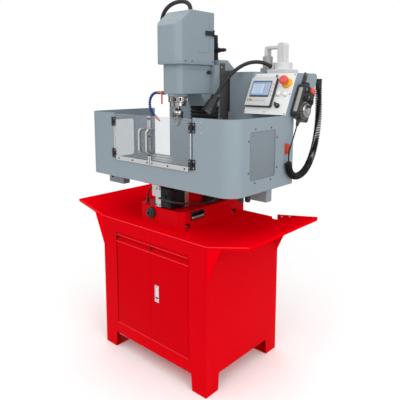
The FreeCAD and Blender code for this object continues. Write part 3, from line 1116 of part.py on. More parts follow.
def pendant_dial():
    """Hand-wheel dial with its finger knob."""
    finger = rod((0, DIAL_R * 0.62, PENDANT_T + 12), (0, DIAL_R * 0.62, PENDANT_T + 21), 6)
    return on_pendant(fuse(pendant_knob(0, 0, DIAL_R, 5, 13), finger))


def pendant_selector(x):
    pointer = box(x - 3, x + 3, SELECTOR_V - SELECTOR_R, SELECTOR_V + SELECTOR_R,
                  PENDANT_T + 8, PENDANT_T + 16)
    return on_pendant(fuse(pendant_knob(x, SELECTOR_V, SELECTOR_R, 4, 9), pointer))


def pendant_stop():
    """Small red stop button on the pendant."""
    t, y = PENDANT_T, PENDANT_STOP_V
    stem = rod((0, y, t - KNOB_DEEP + 5), (0, y, t + 8), 6)
    return on_pendant(fuse(stem, rod((0, y, t + 7), (0, y, t + 19), 13)))


def sampled_route(wire, step):
    """Points along a wire with steady side directions, carried along without twist."""
    points = wire.discretize(Number=ceil(wire.Length / step) + 1)
    last = len(points) - 1
    runs = [(points[min(i + 1, last)] - points[max(i - 1, 0)]).normalize() for i in range(last + 1)]
    side = runs[0].cross(X_AXIS).normalize()
    frames = []
    for point, run in zip(points, runs):
        side = (side - run * side.dot(run)).normalize()
        frames.append((point, side, run.cross(side)))
    return frames


def arc_from(start, tangent, end):
    """Arc that leaves start along a tangent and reaches end, or a line where they agree."""
    chord = end - start
    along = V(chord).normalize()
    bulge = tangent - along * tangent.dot(along)
    if bulge.Length < 1e-5:
        return Part.makeLine(start, end)
    rise = chord.Length / 2 * tan(tangent.getAngle(along) / 2)
    return Part.Arc(start, start + chord * 0.5 + bulge.normalize() * rise, end).toShape()


def biarc(p0, t0, p1, t1):
    """Two arcs from p0 to p1 that keep both tangents and share one at their joint."""
    gap = p1 - p0
    a = 2 * (1 - t0.dot(t1))
    b = 2 * gap.dot(t0 + t1)
    d = gap.dot(gap) / b if abs(a) < 1e-9 else (-b + sqrt(b * b + 4 * a * gap.dot(gap))) / (2 * a)
    joint = (p0 + p1 + (t0 - t1) * d) * 0.5
    middle = (p1 - t1 * d - p0 - t0 * d).normalize()
    return [arc_from(p0, t0, joint), arc_from(joint, middle, p1)]


def pendant_coil():
    """Curly cord: a helix on its route, swelling from the axis at both ends, as one tube."""
    wire = route_wire("pendant_coil route", COIL)
    straight = 2 * LEAD_D
    frames = sampled_route(wire, 1.0)
    length = wire.Length
    turns = round((length - 2 * straight) / COIL_PITCH)
    swell = 1.5 * COIL_PITCH

    def helix(u):
        """Point at u turns: the route's centre, out by the coil's radius, round by u."""
        s = straight + (length - 2 * straight) * u / turns
        place = min(s / length, 0.9999) * (len(frames) - 1)
        k, part = int(place), place % 1
        centre, side, other = [a + (b - a) * part for a, b in zip(frames[k], frames[k + 1])]
        rise = min(1, max(0, min(s - straight, length - straight - s) / swell))
        r = COIL_R * rise * rise * (3 - 2 * rise)
        return centre + side * (r * cos(2 * pi * u)) + other * (r * sin(2 * pi * u))

    count = 4 * turns
    points = [helix(k / 4) for k in range(count + 1)]
    runs = [helix(k / 4 + 0.03) - helix(k / 4 - 0.03) for k in range(1, count)]
    first, last = frames[0][0], frames[-1][0]
    runs = [points[0] - first] + runs + [last - points[-1]]
    runs = [run.normalize() for run in runs]
    edges = [Part.makeLine(first, points[0])]
    for k in range(count):
        edges += biarc(points[k], runs[k], points[k + 1], runs[k + 1])
    edges.append(Part.makeLine(points[-1], last))
    print("pendant_coil turns", turns, "least gap", round(least_gap(edges, turns), 2))
    return swept("pendant_coil", Part.Wire(edges), LEAD_D)


def least_gap(edges, turns):
    """Smallest distance between the tube's surface and itself one turn on, on points of its path."""
    points = [p for edge in edges for p in edge.discretize(Number=5)[:-1]]
    per_turn = len(points) // turns
    near = range(per_turn * 3 // 4, per_turn * 5 // 4)
    starts = range(0, len(points) - per_turn * 2, 3)
    gaps = [(points[i] - points[i + k]).Length for i in starts for k in near]
    return min(gaps) - LEAD_D


def lead_route():
    """Route of the lead: straight out of the pendant's strain relief, then down to the curly cord."""
    end = PENDANT_AT + X_AXIS * (PENDANT_T / 2) + UP_SLOPE * (PENDANT_LOW - RELIEF_L)
    return [end, end - UP_SLOPE * 22] + LEAD


def all_pieces():
    right_door = cabinet_door()
    trim, pane = door_trim(), door_pane()
    leaves = [group(moving_leaf(z) for z in HINGE_ZS), group(fixed_leaf(z) for z in HINGE_ZS)]
    return {
        "cabinet_shell": cabinet_shell(),
        "cabinet_door_left": mirror_x(right_door),
        "cabinet_door_right": right_door.cut(lock_hole()),
        "lock_housing": lock_housing(),
        "lock_paddle": lock_paddle(),
        "chip_tray": chip_tray(),
        "base_casting": base_casting(),
        "column": column(),
        "column_covers": column_covers(),
        "axis_motors": axis_motors(),
        "y_drive_blocks": y_drive_blocks(),
        "black_fittings": black_fittings(),
        "fasteners": fasteners(),
        "x_screw": x_screw(),
        "y_screw": y_screw(),
        "z_screw": z_screw(),
        "saddle": saddle(),
        "table": table(),
        "x_motor": x_motor(),
        "z_slide": z_slide(),
        "head_casting": head_casting(),
        "motor_cover": motor_cover(),
        "head_fittings": head_fittings(),
        "cover_latch": cover_latch(),
        "spindle": spindle(),
        "drill_chuck": drill_chuck(),
        "coolant_fittings": coolant_fittings(),
        "valve_lever": valve_lever(),
        "coolant_hose": coolant_hose(),
        "z_bellows": z_bellows(),
        "enclosure_wall": enclosure_wall(),
        "enclosure_floor": enclosure_floor(),
        "side_windows": side_windows(),
        "door_pane_left": mirror_x(pane),
        "door_pane_right": pane,
        "door_trim_left": mirror_x(trim),
        "door_trim_right": trim,
        "hinge_leaves_left": mirror_x(leaves[0]),
        "hinge_leaves_right": leaves[0],
        "hinge_leaves_fixed": group(leaves[1].Solids + mirror_x(leaves[1]).Solids),
        "control_box": control_box(),
        "console_box": console_box(),
        "console_panel": console_panel(),
        "hmi_unit": hmi_unit(),
        "panel_bezels": panel_bezels(),
        "estop_cap": estop_cap(),
        "push_button_left": push_button(BUTTON_XS[0]),
        "push_button_right": push_button(BUTTON_XS[1]),
        "mode_key": mode_key(),
        "support_arm": support_arm(),
        "lamp_neck": lamp_neck(),
        "lamp_head": lamp_head(),
        "pendant_body": pendant_body(),
        "pendant_dial": pendant_dial(),
        "pendant_stop": pendant_stop(),
        "pendant_selector_axis": pendant_selector(-SELECTOR_X),
        "pendant_selector_step": pendant_selector(SELECTOR_X),
        "motor_hose": cord("motor_hose", MOTOR_HOSE, MOTOR_HOSE_D),
        "pendant_lead": cord("pendant_lead", lead_route(), LEAD_D),
        "pendant_coil": pendant_coil(),
    }


os.makedirs("parts", exist_ok=True)
for node, shape in all_pieces().items():
    shape.translate(V(0, -FRAME_Y, 0))
    shape.exportStep("parts/" + node + ".step")
    state = "" if shape.isValid() else "INVALID"
    print(node, len(shape.Solids), "solids", round(shape.Volume), "mm3", state)
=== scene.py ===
import json
import math

import bmesh
import bpy
import numpy as np
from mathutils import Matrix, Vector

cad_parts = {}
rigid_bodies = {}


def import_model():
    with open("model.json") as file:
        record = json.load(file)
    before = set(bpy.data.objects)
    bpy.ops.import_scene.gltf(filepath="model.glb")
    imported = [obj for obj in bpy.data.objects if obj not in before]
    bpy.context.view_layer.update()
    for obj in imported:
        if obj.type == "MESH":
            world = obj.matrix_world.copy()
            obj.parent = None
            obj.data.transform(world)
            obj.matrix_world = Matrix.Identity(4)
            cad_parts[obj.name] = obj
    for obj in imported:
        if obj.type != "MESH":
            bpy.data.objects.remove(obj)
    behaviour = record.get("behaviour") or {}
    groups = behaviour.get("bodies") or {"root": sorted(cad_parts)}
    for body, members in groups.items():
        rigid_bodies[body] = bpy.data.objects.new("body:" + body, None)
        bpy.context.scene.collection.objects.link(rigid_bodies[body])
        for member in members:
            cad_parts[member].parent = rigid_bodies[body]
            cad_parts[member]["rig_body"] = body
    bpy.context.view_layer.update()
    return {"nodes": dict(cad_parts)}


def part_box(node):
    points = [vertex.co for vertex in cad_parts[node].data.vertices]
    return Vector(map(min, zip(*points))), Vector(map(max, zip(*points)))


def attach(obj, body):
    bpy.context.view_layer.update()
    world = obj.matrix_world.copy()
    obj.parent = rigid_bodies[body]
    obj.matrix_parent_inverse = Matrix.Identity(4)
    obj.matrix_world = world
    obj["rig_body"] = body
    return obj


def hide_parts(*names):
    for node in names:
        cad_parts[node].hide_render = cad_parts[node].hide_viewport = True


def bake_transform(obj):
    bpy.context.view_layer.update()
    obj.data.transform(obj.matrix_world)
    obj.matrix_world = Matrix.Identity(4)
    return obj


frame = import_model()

# Studio: a pale floor that fades into a white surround, with broad soft lamps and the camera.
# The surround is bright overhead, with upright dark flags round it, so that bare metal has something to show.
FLOOR_REACH, FLOOR_FADE = 6.0, (1.0, 2.4)
FLAG_COUNT, FLAG_TURN, FLAG_EDGE, FLAG_DARK, FLAG_TOP = 5.0, -2.1, (0.1, 0.5), 0.85, (0.35, 0.7)
GLOW_LEVEL, GLOW_RISE = 0.95, 0.25
LAMP_AIM, LAMP_SIZE = np.array([0, 0, 0.9]), 2.2
EYE, TILT_DOWN, TURN_LEFT = (1.503, -1.6501, 1.296), 8.0833, 42.1277


class Shade:
    """A shader socket: operators on it add Math nodes, and node() adds a node of any kind."""

    def __init__(self, tree, socket=None):
        self.tree = tree
        self.socket = socket

    def node(self, kind, settings=None, sockets=None, out=0):
        """Adds a node, sets its settings, then gives its sockets their values or links."""
        made = self.tree.nodes.new("ShaderNode" + kind)
        for name, value in (settings or {}).items():
            setattr(made, name, value)
        for name, value in (sockets or {}).items():
            if isinstance(value, Shade):
                self.tree.links.new(value.socket, made.inputs[name])
            else:
                made.inputs[name].default_value = value
        return Shade(self.tree, made.outputs[out])

    def maths(self, operation, first, second=0):
        return self.node("Math", {"operation": operation}, {0: first, 1: second})

    def __add__(self, other):
        return self.maths("ADD", self, other)

    def __sub__(self, other):
        return self.maths("SUBTRACT", self, other)

    def __rsub__(self, other):
        return self.maths("SUBTRACT", other, self)

    def __mul__(self, other):
        return self.maths("MULTIPLY", self, other)

    def __gt__(self, other):
        return self.maths("GREATER_THAN", self, other)

    def __lt__(self, other):
        return self.maths("LESS_THAN", self, other)

    __radd__ = __add__
    __rmul__ = __mul__


def surface(name, constants, build):
    """A Principled material: constants go on the shader's sockets, build(start) gives what varies."""
    material = bpy.data.materials.new(name)
    material.use_nodes = True
    tree = material.node_tree
    shader = tree.nodes["Principled BSDF"]
    for socket, value in constants.items():
        shader.inputs[socket].default_value = value
    for socket, value in build(Shade(tree)).items():
        tree.links.new(value.socket, shader.inputs[socket])
    return material


def spot(start):
    """The point's place on the object."""
    return start.node("TexCoord", out="Object")


def along(start, direction):
    """How far the point lies along a direction."""
    return start.node("VectorMath", {"operation": "DOT_PRODUCT"}, {0: spot(start), 1: direction}, out="Value")


def grain(start, scale, stretch=(1.0, 1.0, 1.0), detail=2.0):
    """Noise from 0 to 1, about 1 / scale metres across, drawn out where stretch is small."""
    place = start.node("Mapping", {}, {"Vector": spot(start), "Scale": stretch})
    return start.node("TexNoise", {}, {"Vector": place, "Scale": scale, "Detail": detail})


def eased_step(start, value, span, ends):
    """Smooth step: the first of ends below span, the second above it."""
    return start.node("MapRange", {"interpolation_type": "SMOOTHSTEP"},
                      {"Value": value, "From Min": span[0], "From Max": span[1],
                       "To Min": ends[0], "To Max": ends[1]})


def mixed(start, share, first, second):
    """First colour where share is 0, second where it is 1; a plain colour is red, green and blue."""
    ends = [end if isinstance(end, Shade) else (*end, 1) for end in (first, second)]
    return start.node("Mix", {"data_type": "RGBA"}, {0: share, 6: ends[0], 7: ends[1]}, out=2)


def bump(start, height, strength, distance):
    """A normal tilted by the slope of height."""
    return start.node("Bump", {}, {"Strength": strength, "Distance": distance, "Height": height})


def linked(made):
    bpy.context.scene.collection.objects.link(made)
    return made


def pale_floor(start):
    """Nearly white, fading out with the distance from the middle."""
    reach = start.node("VectorMath", {"operation": "LENGTH"}, {0: spot(start)}, out="Value")
    return {"Base Color": mixed(start, grain(start, 3.0), (0.93, 0.93, 0.93), (0.97, 0.97, 0.97)),
            "Alpha": eased_step(start, reach, FLOOR_FADE, (1.0, 0.0))}


floor_corners = FLOOR_REACH * np.array([(-1, -1, 0), (1, -1, 0), (1, 1, 0), (-1, 1, 0)])
floor_mesh = bpy.data.meshes.new("floor")
floor_mesh.from_pydata(floor_corners, [], [(0, 1, 2, 3)])
floor_mesh.materials.append(surface("pale_floor", {"Roughness": 0.7, "Specular IOR Level": 0.1}, pale_floor))
linked(bpy.data.objects.new("floor", floor_mesh))

world = bpy.data.worlds.new("surround")
bpy.context.scene.world = world
world.use_nodes = True
backdrop = world.node_tree.nodes["Background"]
backdrop.inputs["Color"].default_value = (1, 1, 1, 1)
sky = Shade(world.node_tree)
look = sky.node("TexCoord", out="Generated")
sideways, forwards, height = [sky.node("SeparateXYZ", {}, {0: look}, out=axis) for axis in "XYZ"]
bearing = sky.maths("ARCTAN2", sideways, forwards)
flags = eased_step(sky, sky.maths("SINE", FLAG_COUNT * bearing + FLAG_TURN), FLAG_EDGE, (0.0, FLAG_DARK))
low_band = eased_step(sky, sky.maths("ABSOLUTE", height), FLAG_TOP, (1.0, 0.0))
seen = sky.node("LightPath", out="Is Camera Ray")
glow = (GLOW_LEVEL + GLOW_RISE * height) * (1 - flags * low_band)
world.node_tree.links.new((seen + (1 - seen) * glow).socket, backdrop.inputs["Strength"])
bpy.context.scene.view_settings.view_transform = "Standard"

for lamp_name, place, watts in (("key", (0.3, -3.3, 2.7), 33), ("fill", (3.1, -0.9, 2.0), 40)):
    lamp = bpy.data.lights.new(lamp_name, "AREA")
    lamp.size = LAMP_SIZE
    lamp.energy = watts
    lamp_stand = linked(bpy.data.objects.new(lamp_name, lamp))
    lamp_stand.location = place
    x, y, z = LAMP_AIM - place
    lamp_stand.rotation_euler = (math.atan2(math.hypot(x, y), -z), 0, math.atan2(y, x) - math.pi / 2)

camera = bpy.data.cameras.new("camera")
camera.lens = 41.84
camera.sensor_width = 36
camera.shift_y = -0.125
eye = linked(bpy.data.objects.new("camera", camera))
eye.location = EYE
eye.rotation_euler = (math.radians(90 - TILT_DOWN), 0, math.radians(TURN_LEFT))
bpy.context.scene.camera = eye

# Cabinet stand: a folded sheet-steel box on four corner legs, with two doors hung on pivot pins.
# The sheet is welded, ground and powder-coated a strong red; every fold has a small roll to it.
MM = 0.001
FOLD_ROLL, DOOR_ROLL = 0.8, 0.5
cabinet_low, cabinet_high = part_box("cabinet_shell")
MIDDLE = (cabinet_low.y + cabinet_high.y) / 2


def at(points):
    """Millimetres from the cabinet's middle on the floor, as metres in the frame."""
    return np.asarray(points, float) * MM + (0, MIDDLE, 0)


def powder_coat(name, light, dark, gloss, shine, peel=800.0, depth=0.05):
    """Baked coat: its tone drifts slowly, its gloss is uneven, and it has a fine orange peel."""
    def build(start):
        return {"Base Color": mixed(start, grain(start, 5.0, detail=4.0), light, dark),
                "Roughness": gloss + 0.14 * (grain(start, 30.0) - 0.5),
                "Normal": bump(start, grain(start, peel, detail=1.0), depth, 0.0006)}
    return surface(name, {"Specular IOR Level": shine}, build)


def eased(node, finish, roll=FOLD_ROLL, corner=40.0):
    """A copy of a CAD node: doubles merged, flat faces joined, and edges rolled by roll millimetres."""
    source = frame["nodes"][node]
    mesh = source.data.copy()
    if "custom_normal" in mesh.attributes:
        mesh.attributes.remove(mesh.attributes["custom_normal"])
    work = bmesh.new()
    work.from_mesh(mesh)
    bmesh.ops.remove_doubles(work, verts=work.verts, dist=2e-6)
    bmesh.ops.dissolve_limit(work, angle_limit=math.radians(0.5), verts=work.verts, edges=work.edges)
    work.to_mesh(mesh)
    work.free()
    mesh.materials.clear()
    mesh.materials.append(finish)
    mesh.polygons.foreach_set("material_index", np.zeros(len(mesh.polygons), np.int32))
    mesh.shade_smooth()
    mesh.set_sharp_from_angle(angle=math.radians(corner))
    made = linked(bpy.data.objects.new(node + "_skin", mesh))
    rolled_edge = made.modifiers.new("rolled_edge", "BEVEL")
    rolled_edge.width = roll * MM
    rolled_edge.segments = 2
    rolled_edge.limit_method = "ANGLE"
    rolled_edge.angle_limit = math.radians(corner)
    rolled_edge.use_clamp_overlap = False
    rolled_edge.harden_normals = True
    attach(made, source["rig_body"])
    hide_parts(node)
    return made


red_coat = powder_coat("red_coat", (0.66, 0.0, 0.005), (0.6, 0.0, 0.004), 0.42, 0.012)
door_red = powder_coat("door_red", (0.6, 0.0, 0.005), (0.54, 0.0, 0.004), 0.42, 0.012)
eased("cabinet_shell", red_coat)
for hand in ("left", "right"):
    eased("cabinet_door_" + hand, door_red, DOOR_ROLL)

# Door lock: a pressed chrome dish with a pull paddle and a key cylinder, clipped into the right door.
# The paddle swings out on its top pin; the cylinder's face has a narrow keyway, drawn as a thin black slab of
# painted shade.
UP, FRONT, BACK, RIGHT, LEFT = (0, 0, 1), (0, -1, 0), (0, 1, 0), (1, 0, 0), (-1, 0, 0)
LOCK_FACE, DISH_ROLL, PADDLE_ROLL = (45, -263.5, 341), 0.1, 0.4


def metal(name, light, dark, rough, stretch=(1.0, 1.0, 1.0), scale=60.0, scratch=0.06):
    """Bare metal: fine marks of its making drawn out along one way, in tone, gloss and relief."""
    def build(start):
        marks = grain(start, scale, stretch, 4.0)
        return {"Base Color": mixed(start, marks, light, dark),
                "Roughness": rough + 0.3 * (marks - 0.5) * rough + 0.06 * grain(start, 20.0),
                "Normal": bump(start, marks, scratch, 0.0003)}
    return surface(name, {"Metallic": 1.0}, build)


def plastic(name, light, dark, rough, shine=0.4, scale=1400.0, depth=0.06):
    """Moulded plastic: a fine spark-eroded grain, and a gloss that handling has made uneven."""
    def build(start):
        return {"Base Color": mixed(start, grain(start, 40.0), light, dark),
                "Roughness": rough + 0.16 * (grain(start, 70.0) - 0.5),
                "Normal": bump(start, grain(start, scale), depth, 0.0004)}
    return surface(name, {"Specular IOR Level": shine}, build)


def seat(origin, out=UP, across=None):
    """A local frame, z along out and x near across: takes local millimetres to the frame."""
    z = np.array(out, float) / np.linalg.norm(out)
    if across is None:
        across = BACK if abs(z[0]) > 0.9 else RIGHT
    x = np.array(across, float) - z * np.dot(across, z)
    x = x / np.linalg.norm(x)
    turn = np.stack([x, np.cross(z, x), z])
    return lambda points: at(np.asarray(points, float) @ turn + origin)


def lathe(profile, sides=40):
    """Rings of a profile of (radius, height) turned about the local z axis."""
    turn = np.linspace(0, 2 * np.pi, sides, endpoint=False)
    r, h = np.array(profile, float).T[:, :, None]
    return np.stack([r * np.cos(turn), r * np.sin(turn), h + 0 * turn], -1)


def slab(half_x, half_y, corner, steps, centre=(0.0, 0.0)):
    """Rings of a rounded rectangle, each step an (inset, height) that keeps the corners' centres."""
    quarter = np.linspace(0, np.pi / 2, 5)
    turn = np.concatenate([quarter + k * np.pi / 2 for k in range(4)])
    inset, h = np.array(steps, float).T[:, :, None]
    x = np.repeat([1, -1, -1, 1], 5) * (half_x - corner) + (corner - inset) * np.cos(turn)
    y = np.repeat([1, 1, -1, -1], 5) * (half_y - corner) + (corner - inset) * np.sin(turn)
    return np.stack([x + centre[0], y + centre[1], h + 0 * x], -1)


def capped(rings):
    """The rings with both ends drawn to a point at their middle, which closes them."""
    ends = [np.broadcast_to(rings[k].mean(0), rings[k].shape) for k in (0, -1)]
    return np.concatenate([ends[:1], rings, ends[1:]])


def piece(name, body, slot, *skins, stands_for=None, corner=40.0):
    """One closed object from skins of (finish, rings): quads between neighbouring rings, faces outwards."""
    points, quads, kinds, finishes, start = [], [], [], [], 0
    for finish, open_rings in skins:
        rings = capped(open_rings)
        count, around = rings.shape[:2]
        first = np.arange(count - 1)[:, None] * around + np.arange(around)
        second = np.arange(count - 1)[:, None] * around + np.roll(np.arange(around), -1)
        quad = np.stack([first, second, second + around, first + around], -1).reshape(-1, 4)
        if finish not in finishes:
            finishes.append(finish)
        points.append(rings.reshape(-1, 3))
        quads.append(quad + start)
        kinds.append(np.full(len(quad), finishes.index(finish), np.int32))
        start += count * around
    mesh = bpy.data.meshes.new(name)
    mesh.from_pydata(np.concatenate(points), [], np.concatenate(quads))
    mesh.polygons.foreach_set("material_index", np.concatenate(kinds))
    for finish in finishes:
        mesh.materials.append(finish)
    work = bmesh.new()
    work.from_mesh(mesh)
    bmesh.ops.remove_doubles(work, verts=work.verts, dist=1e-6)
    bmesh.ops.dissolve_degenerate(work, edges=work.edges, dist=1e-7)
    bmesh.ops.recalc_face_normals(work, faces=work.faces)
    work.to_mesh(mesh)
    work.free()
    mesh.shade_smooth()
    mesh.set_sharp_from_angle(angle=math.radians(corner))
    made = linked(bpy.data.objects.new(name, mesh))
    if body:
        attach(made, body)
    if stands_for:
        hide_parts(stands_for)
    return made


chrome = metal("chrome", (0.78, 0.76, 0.76), (0.62, 0.6, 0.6), 0.34, (1.0, 1.0, 0.1))
# Black for black screws and bands, and also painted shade in slots, flutes and open groove ends.
black_and_painted_shade = plastic("black_and_painted_shade", (0.012, 0.012, 0.013), (0.006, 0.006, 0.006), 0.6)
eased("lock_housing", chrome, DISH_ROLL)
eased("lock_paddle", chrome, PADDLE_ROLL)
lock = seat(LOCK_FACE, FRONT)
cylinder = lathe([(6.6, -0.2), (6.6, 0.3), (6.2, 0.7), (4.6, 0.7), (4.4, 0.2)])
keyway_shade = slab(0.7, 3.0, 0.6, [(0, 0.1), (0, 0.3), (0.2, 0.35)])
piece("lock_face", "cabinet_right", "bright_steel", (chrome, lock(cylinder)), (black_and_painted_shade, lock(keyway_shade)))

# Door grips: a groove folded along the top of each door, open at the end where the hand goes in; a black
# triangle at that end is painted shade.
# Pale strips along the folds above and below it, and along the one at the door's foot, are painted
# highlights.
GRIP_LOW, GRIP_HIGH, GRIP_DEEP, GRIP_DEEP_Z, FOOT_FOLD = 552.0, 582.0, 12.0, 569.0, 136.0
DOOR_FRONT, DOOR_EDGES, GRIP_HALF_W = -259.5, (("left", -237.5), ("right", 1.5)), 118.0
END_SUNK, END_IN, HIGHLIGHT_HALF, HIGHLIGHT_OFF, HIGHLIGHT_STEPS = 0.3, 2.0, 1.1, 1.2, [(0, -0.3), (0, 0.3), (0.3, 0.5)]
# A pale red used for painted highlights along folded edges.
painted_highlight_red = powder_coat("painted_highlight_red", (0.9, 0.06, 0.06), (0.84, 0.04, 0.04), 0.4, 0.1)
highlight_strip = slab(GRIP_HALF_W, HIGHLIGHT_HALF, 0.5, HIGHLIGHT_STEPS)
for hand, x in DOOR_EDGES:
    highlight_strips = [(painted_highlight_red, seat((x + GRIP_HALF_W, DOOR_FRONT, z), FRONT)(highlight_strip))
            for z in (FOOT_FOLD, GRIP_LOW - HIGHLIGHT_OFF, GRIP_HIGH + HIGHLIGHT_OFF)]
    # A thin black triangle across the groove's open end: painted shade.
    painted_grip_shade = np.array([[(x + step, DOOR_FRONT + END_SUNK, GRIP_LOW + END_IN),
                          (x + step, DOOR_FRONT + GRIP_DEEP, GRIP_DEEP_Z),
                          (x + step, DOOR_FRONT + END_SUNK, GRIP_HIGH - END_IN)] for step in (0, 1)])
    piece("painted_grip_shade_" + hand, "cabinet_" + hand, "black_plastic", (black_and_painted_shade, at(painted_grip_shade)), *highlight_strips)

# Chip tray: one folded sheet with rising wings, a rear upstand and gussets, coated like the cabinet; its red
# is painted lighter than the cabinet's, as painted light against the shade under the enclosure.
# Its upstands are bolted to the wings with plated button-head bolts, its gussets to the cabinet with black.
TRAY_Z, CABINET_HALF_W, WING_W, WING_RISE = 657.0, 336.5, 208.5, 48.0
WING_SLOPE, EDGE_HALF, WING_EDGE_HALF_W = WING_RISE / WING_W, 1.2, 105.0
UPSTAND_Y, UPSTAND_BOLT_Z, UPSTAND_BOLT_XS = 251.5, 12.5, (25.5, 68.5)
GUSSET_BOLT_Y, GUSSET_BOLT_Z = 234.5, 551.0
SIDES = (-1, 1)


def hexagon(sides, across):
    """Radius of a hexagon of that width across its flats, at each of a ring's sides."""
    turn = np.linspace(0, 2 * np.pi, sides, endpoint=False)
    return (across / 2 / np.cos((turn % (np.pi / 3)) - np.pi / 6))[:, None]


def button_head(r, h):
    """Domed screw head with a hexagon socket sunk in its top."""
    rings = lathe([(r, 0), (r, 0.3 * h), (0.95 * r, 0.62 * h), (0.8 * r, 0.9 * h), (0.6 * r, h), (1, h),
                   (1, 0.45 * h)], 24)
    rings[5:, :, :2] *= hexagon(24, 0.9 * r)
    return rings


def screws(name, body, slot, finish, r, h, places, stands_for=None):
    """Like screw heads, each place a point and the way that its head faces."""
    heads = [(finish, seat(point, out, (0.3, 0.5, 0.8))(button_head(r, h))) for point, out in places]
    return piece(name, body, slot, *heads, stands_for=stands_for)


tray_red_painted_light = powder_coat("tray_red_painted_light", (0.84, 0.0, 0.006), (0.78, 0.0, 0.005), 0.42, 0.0)
zinc = metal("zinc_plate", (0.7, 0.71, 0.72), (0.54, 0.55, 0.56), 0.3, scale=200.0)
eased("chip_tray", tray_red_painted_light)
tray_bolts = [((side * (CABINET_HALF_W + x), UPSTAND_Y, TRAY_Z + UPSTAND_BOLT_Z + x * WING_SLOPE), FRONT)
              for side in SIDES for x in UPSTAND_BOLT_XS]
screws("tray_bolts", "stand", "bright_steel", zinc, 5.2, 4.0, tray_bolts, "fasteners")
gusset_bolts = [((side * CABINET_HALF_W, GUSSET_BOLT_Y, GUSSET_BOLT_Z), (side, 0, 0)) for side in SIDES]
screws("gusset_bolts", "stand", "black_metal", black_and_painted_shade, 6.5, 2.5, gusset_bolts)
# Pale red strips along the tray's front fold and the wings' front edges are painted highlights.
edge_highlights = []
for side, half in ((-1, WING_EDGE_HALF_W), (0, CABINET_HALF_W - 1), (1, WING_EDGE_HALF_W)):
    edge_middle = (side * (CABINET_HALF_W + WING_W / 2), DOOR_FRONT,
                   TRAY_Z + abs(side) * WING_RISE / 2 - EDGE_HALF)
    edge = seat(edge_middle, FRONT, (1, 0, side * WING_SLOPE))
    edge_highlights.append((painted_highlight_red, edge(slab(half, EDGE_HALF, 0.5, HIGHLIGHT_STEPS))))
piece("tray_edge_highlight", "stand", "red_paint", *edge_highlights)

# Base: a red enamelled iron casting with a web and a deck, held by four hexagon bolts with washers.
# Enamel on cast iron is thicker than on sheet and lets a little of the sand's roughness through.
BASE_ROLL, BASE_SIDE, FOOT_BOLT_IN, FOOT_BOLT_YS, FOOT_SEAT = 1.6, 142.0, 32 / 3, (-159.0, 166.0), 12.0
red_enamel = powder_coat("red_enamel", (0.64, 0.0, 0.005), (0.56, 0.0, 0.004), 0.4, 0.03, 220.0, 0.16)
eased("base_casting", red_enamel, BASE_ROLL)


def hex_bolt(across, h):
    """Washer and hexagon head, with the head's top corners turned off."""
    washer = lathe([(across * 0.75, 0), (across * 0.75, 1.6), (across * 0.7, 2)], 24)
    head = lathe([(1, 2), (1, 1.4 + h), (0.93, 2 + h)], 24)
    head[:, :, :2] *= hexagon(24, across)
    return np.concatenate([washer, head])


black_oxide = metal("black_oxide", (0.1, 0.1, 0.11), (0.05, 0.05, 0.055), 0.35, scale=200.0)
foot_places = [(side * (BASE_SIDE - FOOT_BOLT_IN), y, TRAY_Z + FOOT_SEAT)
               for side in SIDES for y in FOOT_BOLT_YS]
foot_bolts = [(black_oxide, seat(place)(hex_bolt(13.0, 8.0))) for place in foot_places]
piece("foot_bolts", "stand", "bright_steel", *foot_bolts, stands_for="fasteners")

# Base fittings: black mouldings and glands screwed into the base, the liner of its side pocket clipped in.
# The feed motor's cable hangs in a loop to the terminal box, and the sensor's drops to its own gland.
BASE_TOP, BASE_FRONT, POCKET_Y, POCKET_Z = 745.0, -200.0, -97.5, 717.0
POCKET_WALL, POCKET_DEEP, POCKET_PROUD, CABLE_D = 5.0, 30.0, 4.0, 8.0
POCKET_BAR_IN, POCKET_BAR_DOWN = 2.0, 8.0
OIL_PLUG, TERMINAL_BOX, SENSOR_GLAND = (-46, BASE_FRONT, 715), (105, 39, BASE_TOP), (-127, -153, BASE_TOP)
black_mould = plastic("black_mould", (0.024, 0.025, 0.028), (0.014, 0.014, 0.016), 0.38)


def gland(r, h):
    """Cable gland: a hexagon body, then a round cap nut that narrows to the cable."""
    body = lathe([(1, 0), (1, 0.5 * h), (0.93, 0.56 * h)], 24)
    body[:, :, :2] *= hexagon(24, 1.73 * r)
    nut = lathe([(0.8 * r, 0.57 * h), (0.8 * r, 0.62 * h), (0.9 * r, 0.66 * h), (0.9 * r, 0.84 * h),
                 (0.62 * r, h)], 24)
    return np.concatenate([body, nut])


pocket_liner = slab(42.5, 20, POCKET_WALL, [(0, -POCKET_DEEP), (0, POCKET_PROUD - 1), (1, POCKET_PROUD),
                                            (POCKET_WALL - 1, POCKET_PROUD), (POCKET_WALL, POCKET_PROUD - 1),
                                            (POCKET_WALL, POCKET_WALL - POCKET_DEEP)])
pocket_bar = lathe([(6, -38), (7.5, -36.5), (7.5, 36.5), (6, 38)], 32)
oil_plug = lathe([(25, 0), (25, 13.5), (22, 16), (17, 16), (17, 20.5), (15.5, 22), (1, 22), (1, 14)], 48)
oil_plug[6:, :, :2] *= hexagon(48, 13.8)
terminal_box = slab(19, 39, 3, [(0, 0), (0, 30), (0.8, 30.7), (0.8, 31.5), (0, 32.2), (0, 43), (0.6, 44.4),
                                (2, 45)])
piece("base_fittings", "stand", "black_plastic",
      (black_mould, seat((BASE_SIDE, POCKET_Y, POCKET_Z), RIGHT, BACK)(pocket_liner)),
      (zinc, seat((BASE_SIDE - POCKET_BAR_IN, POCKET_Y, POCKET_Z - POCKET_BAR_DOWN), BACK)(pocket_bar)),
      (black_mould, seat(OIL_PLUG, FRONT)(oil_plug)),
      (black_mould, seat(TERMINAL_BOX)(terminal_box)),
      (black_mould, seat(SENSOR_GLAND)(gland(9, 15))),
      stands_for="black_fittings")


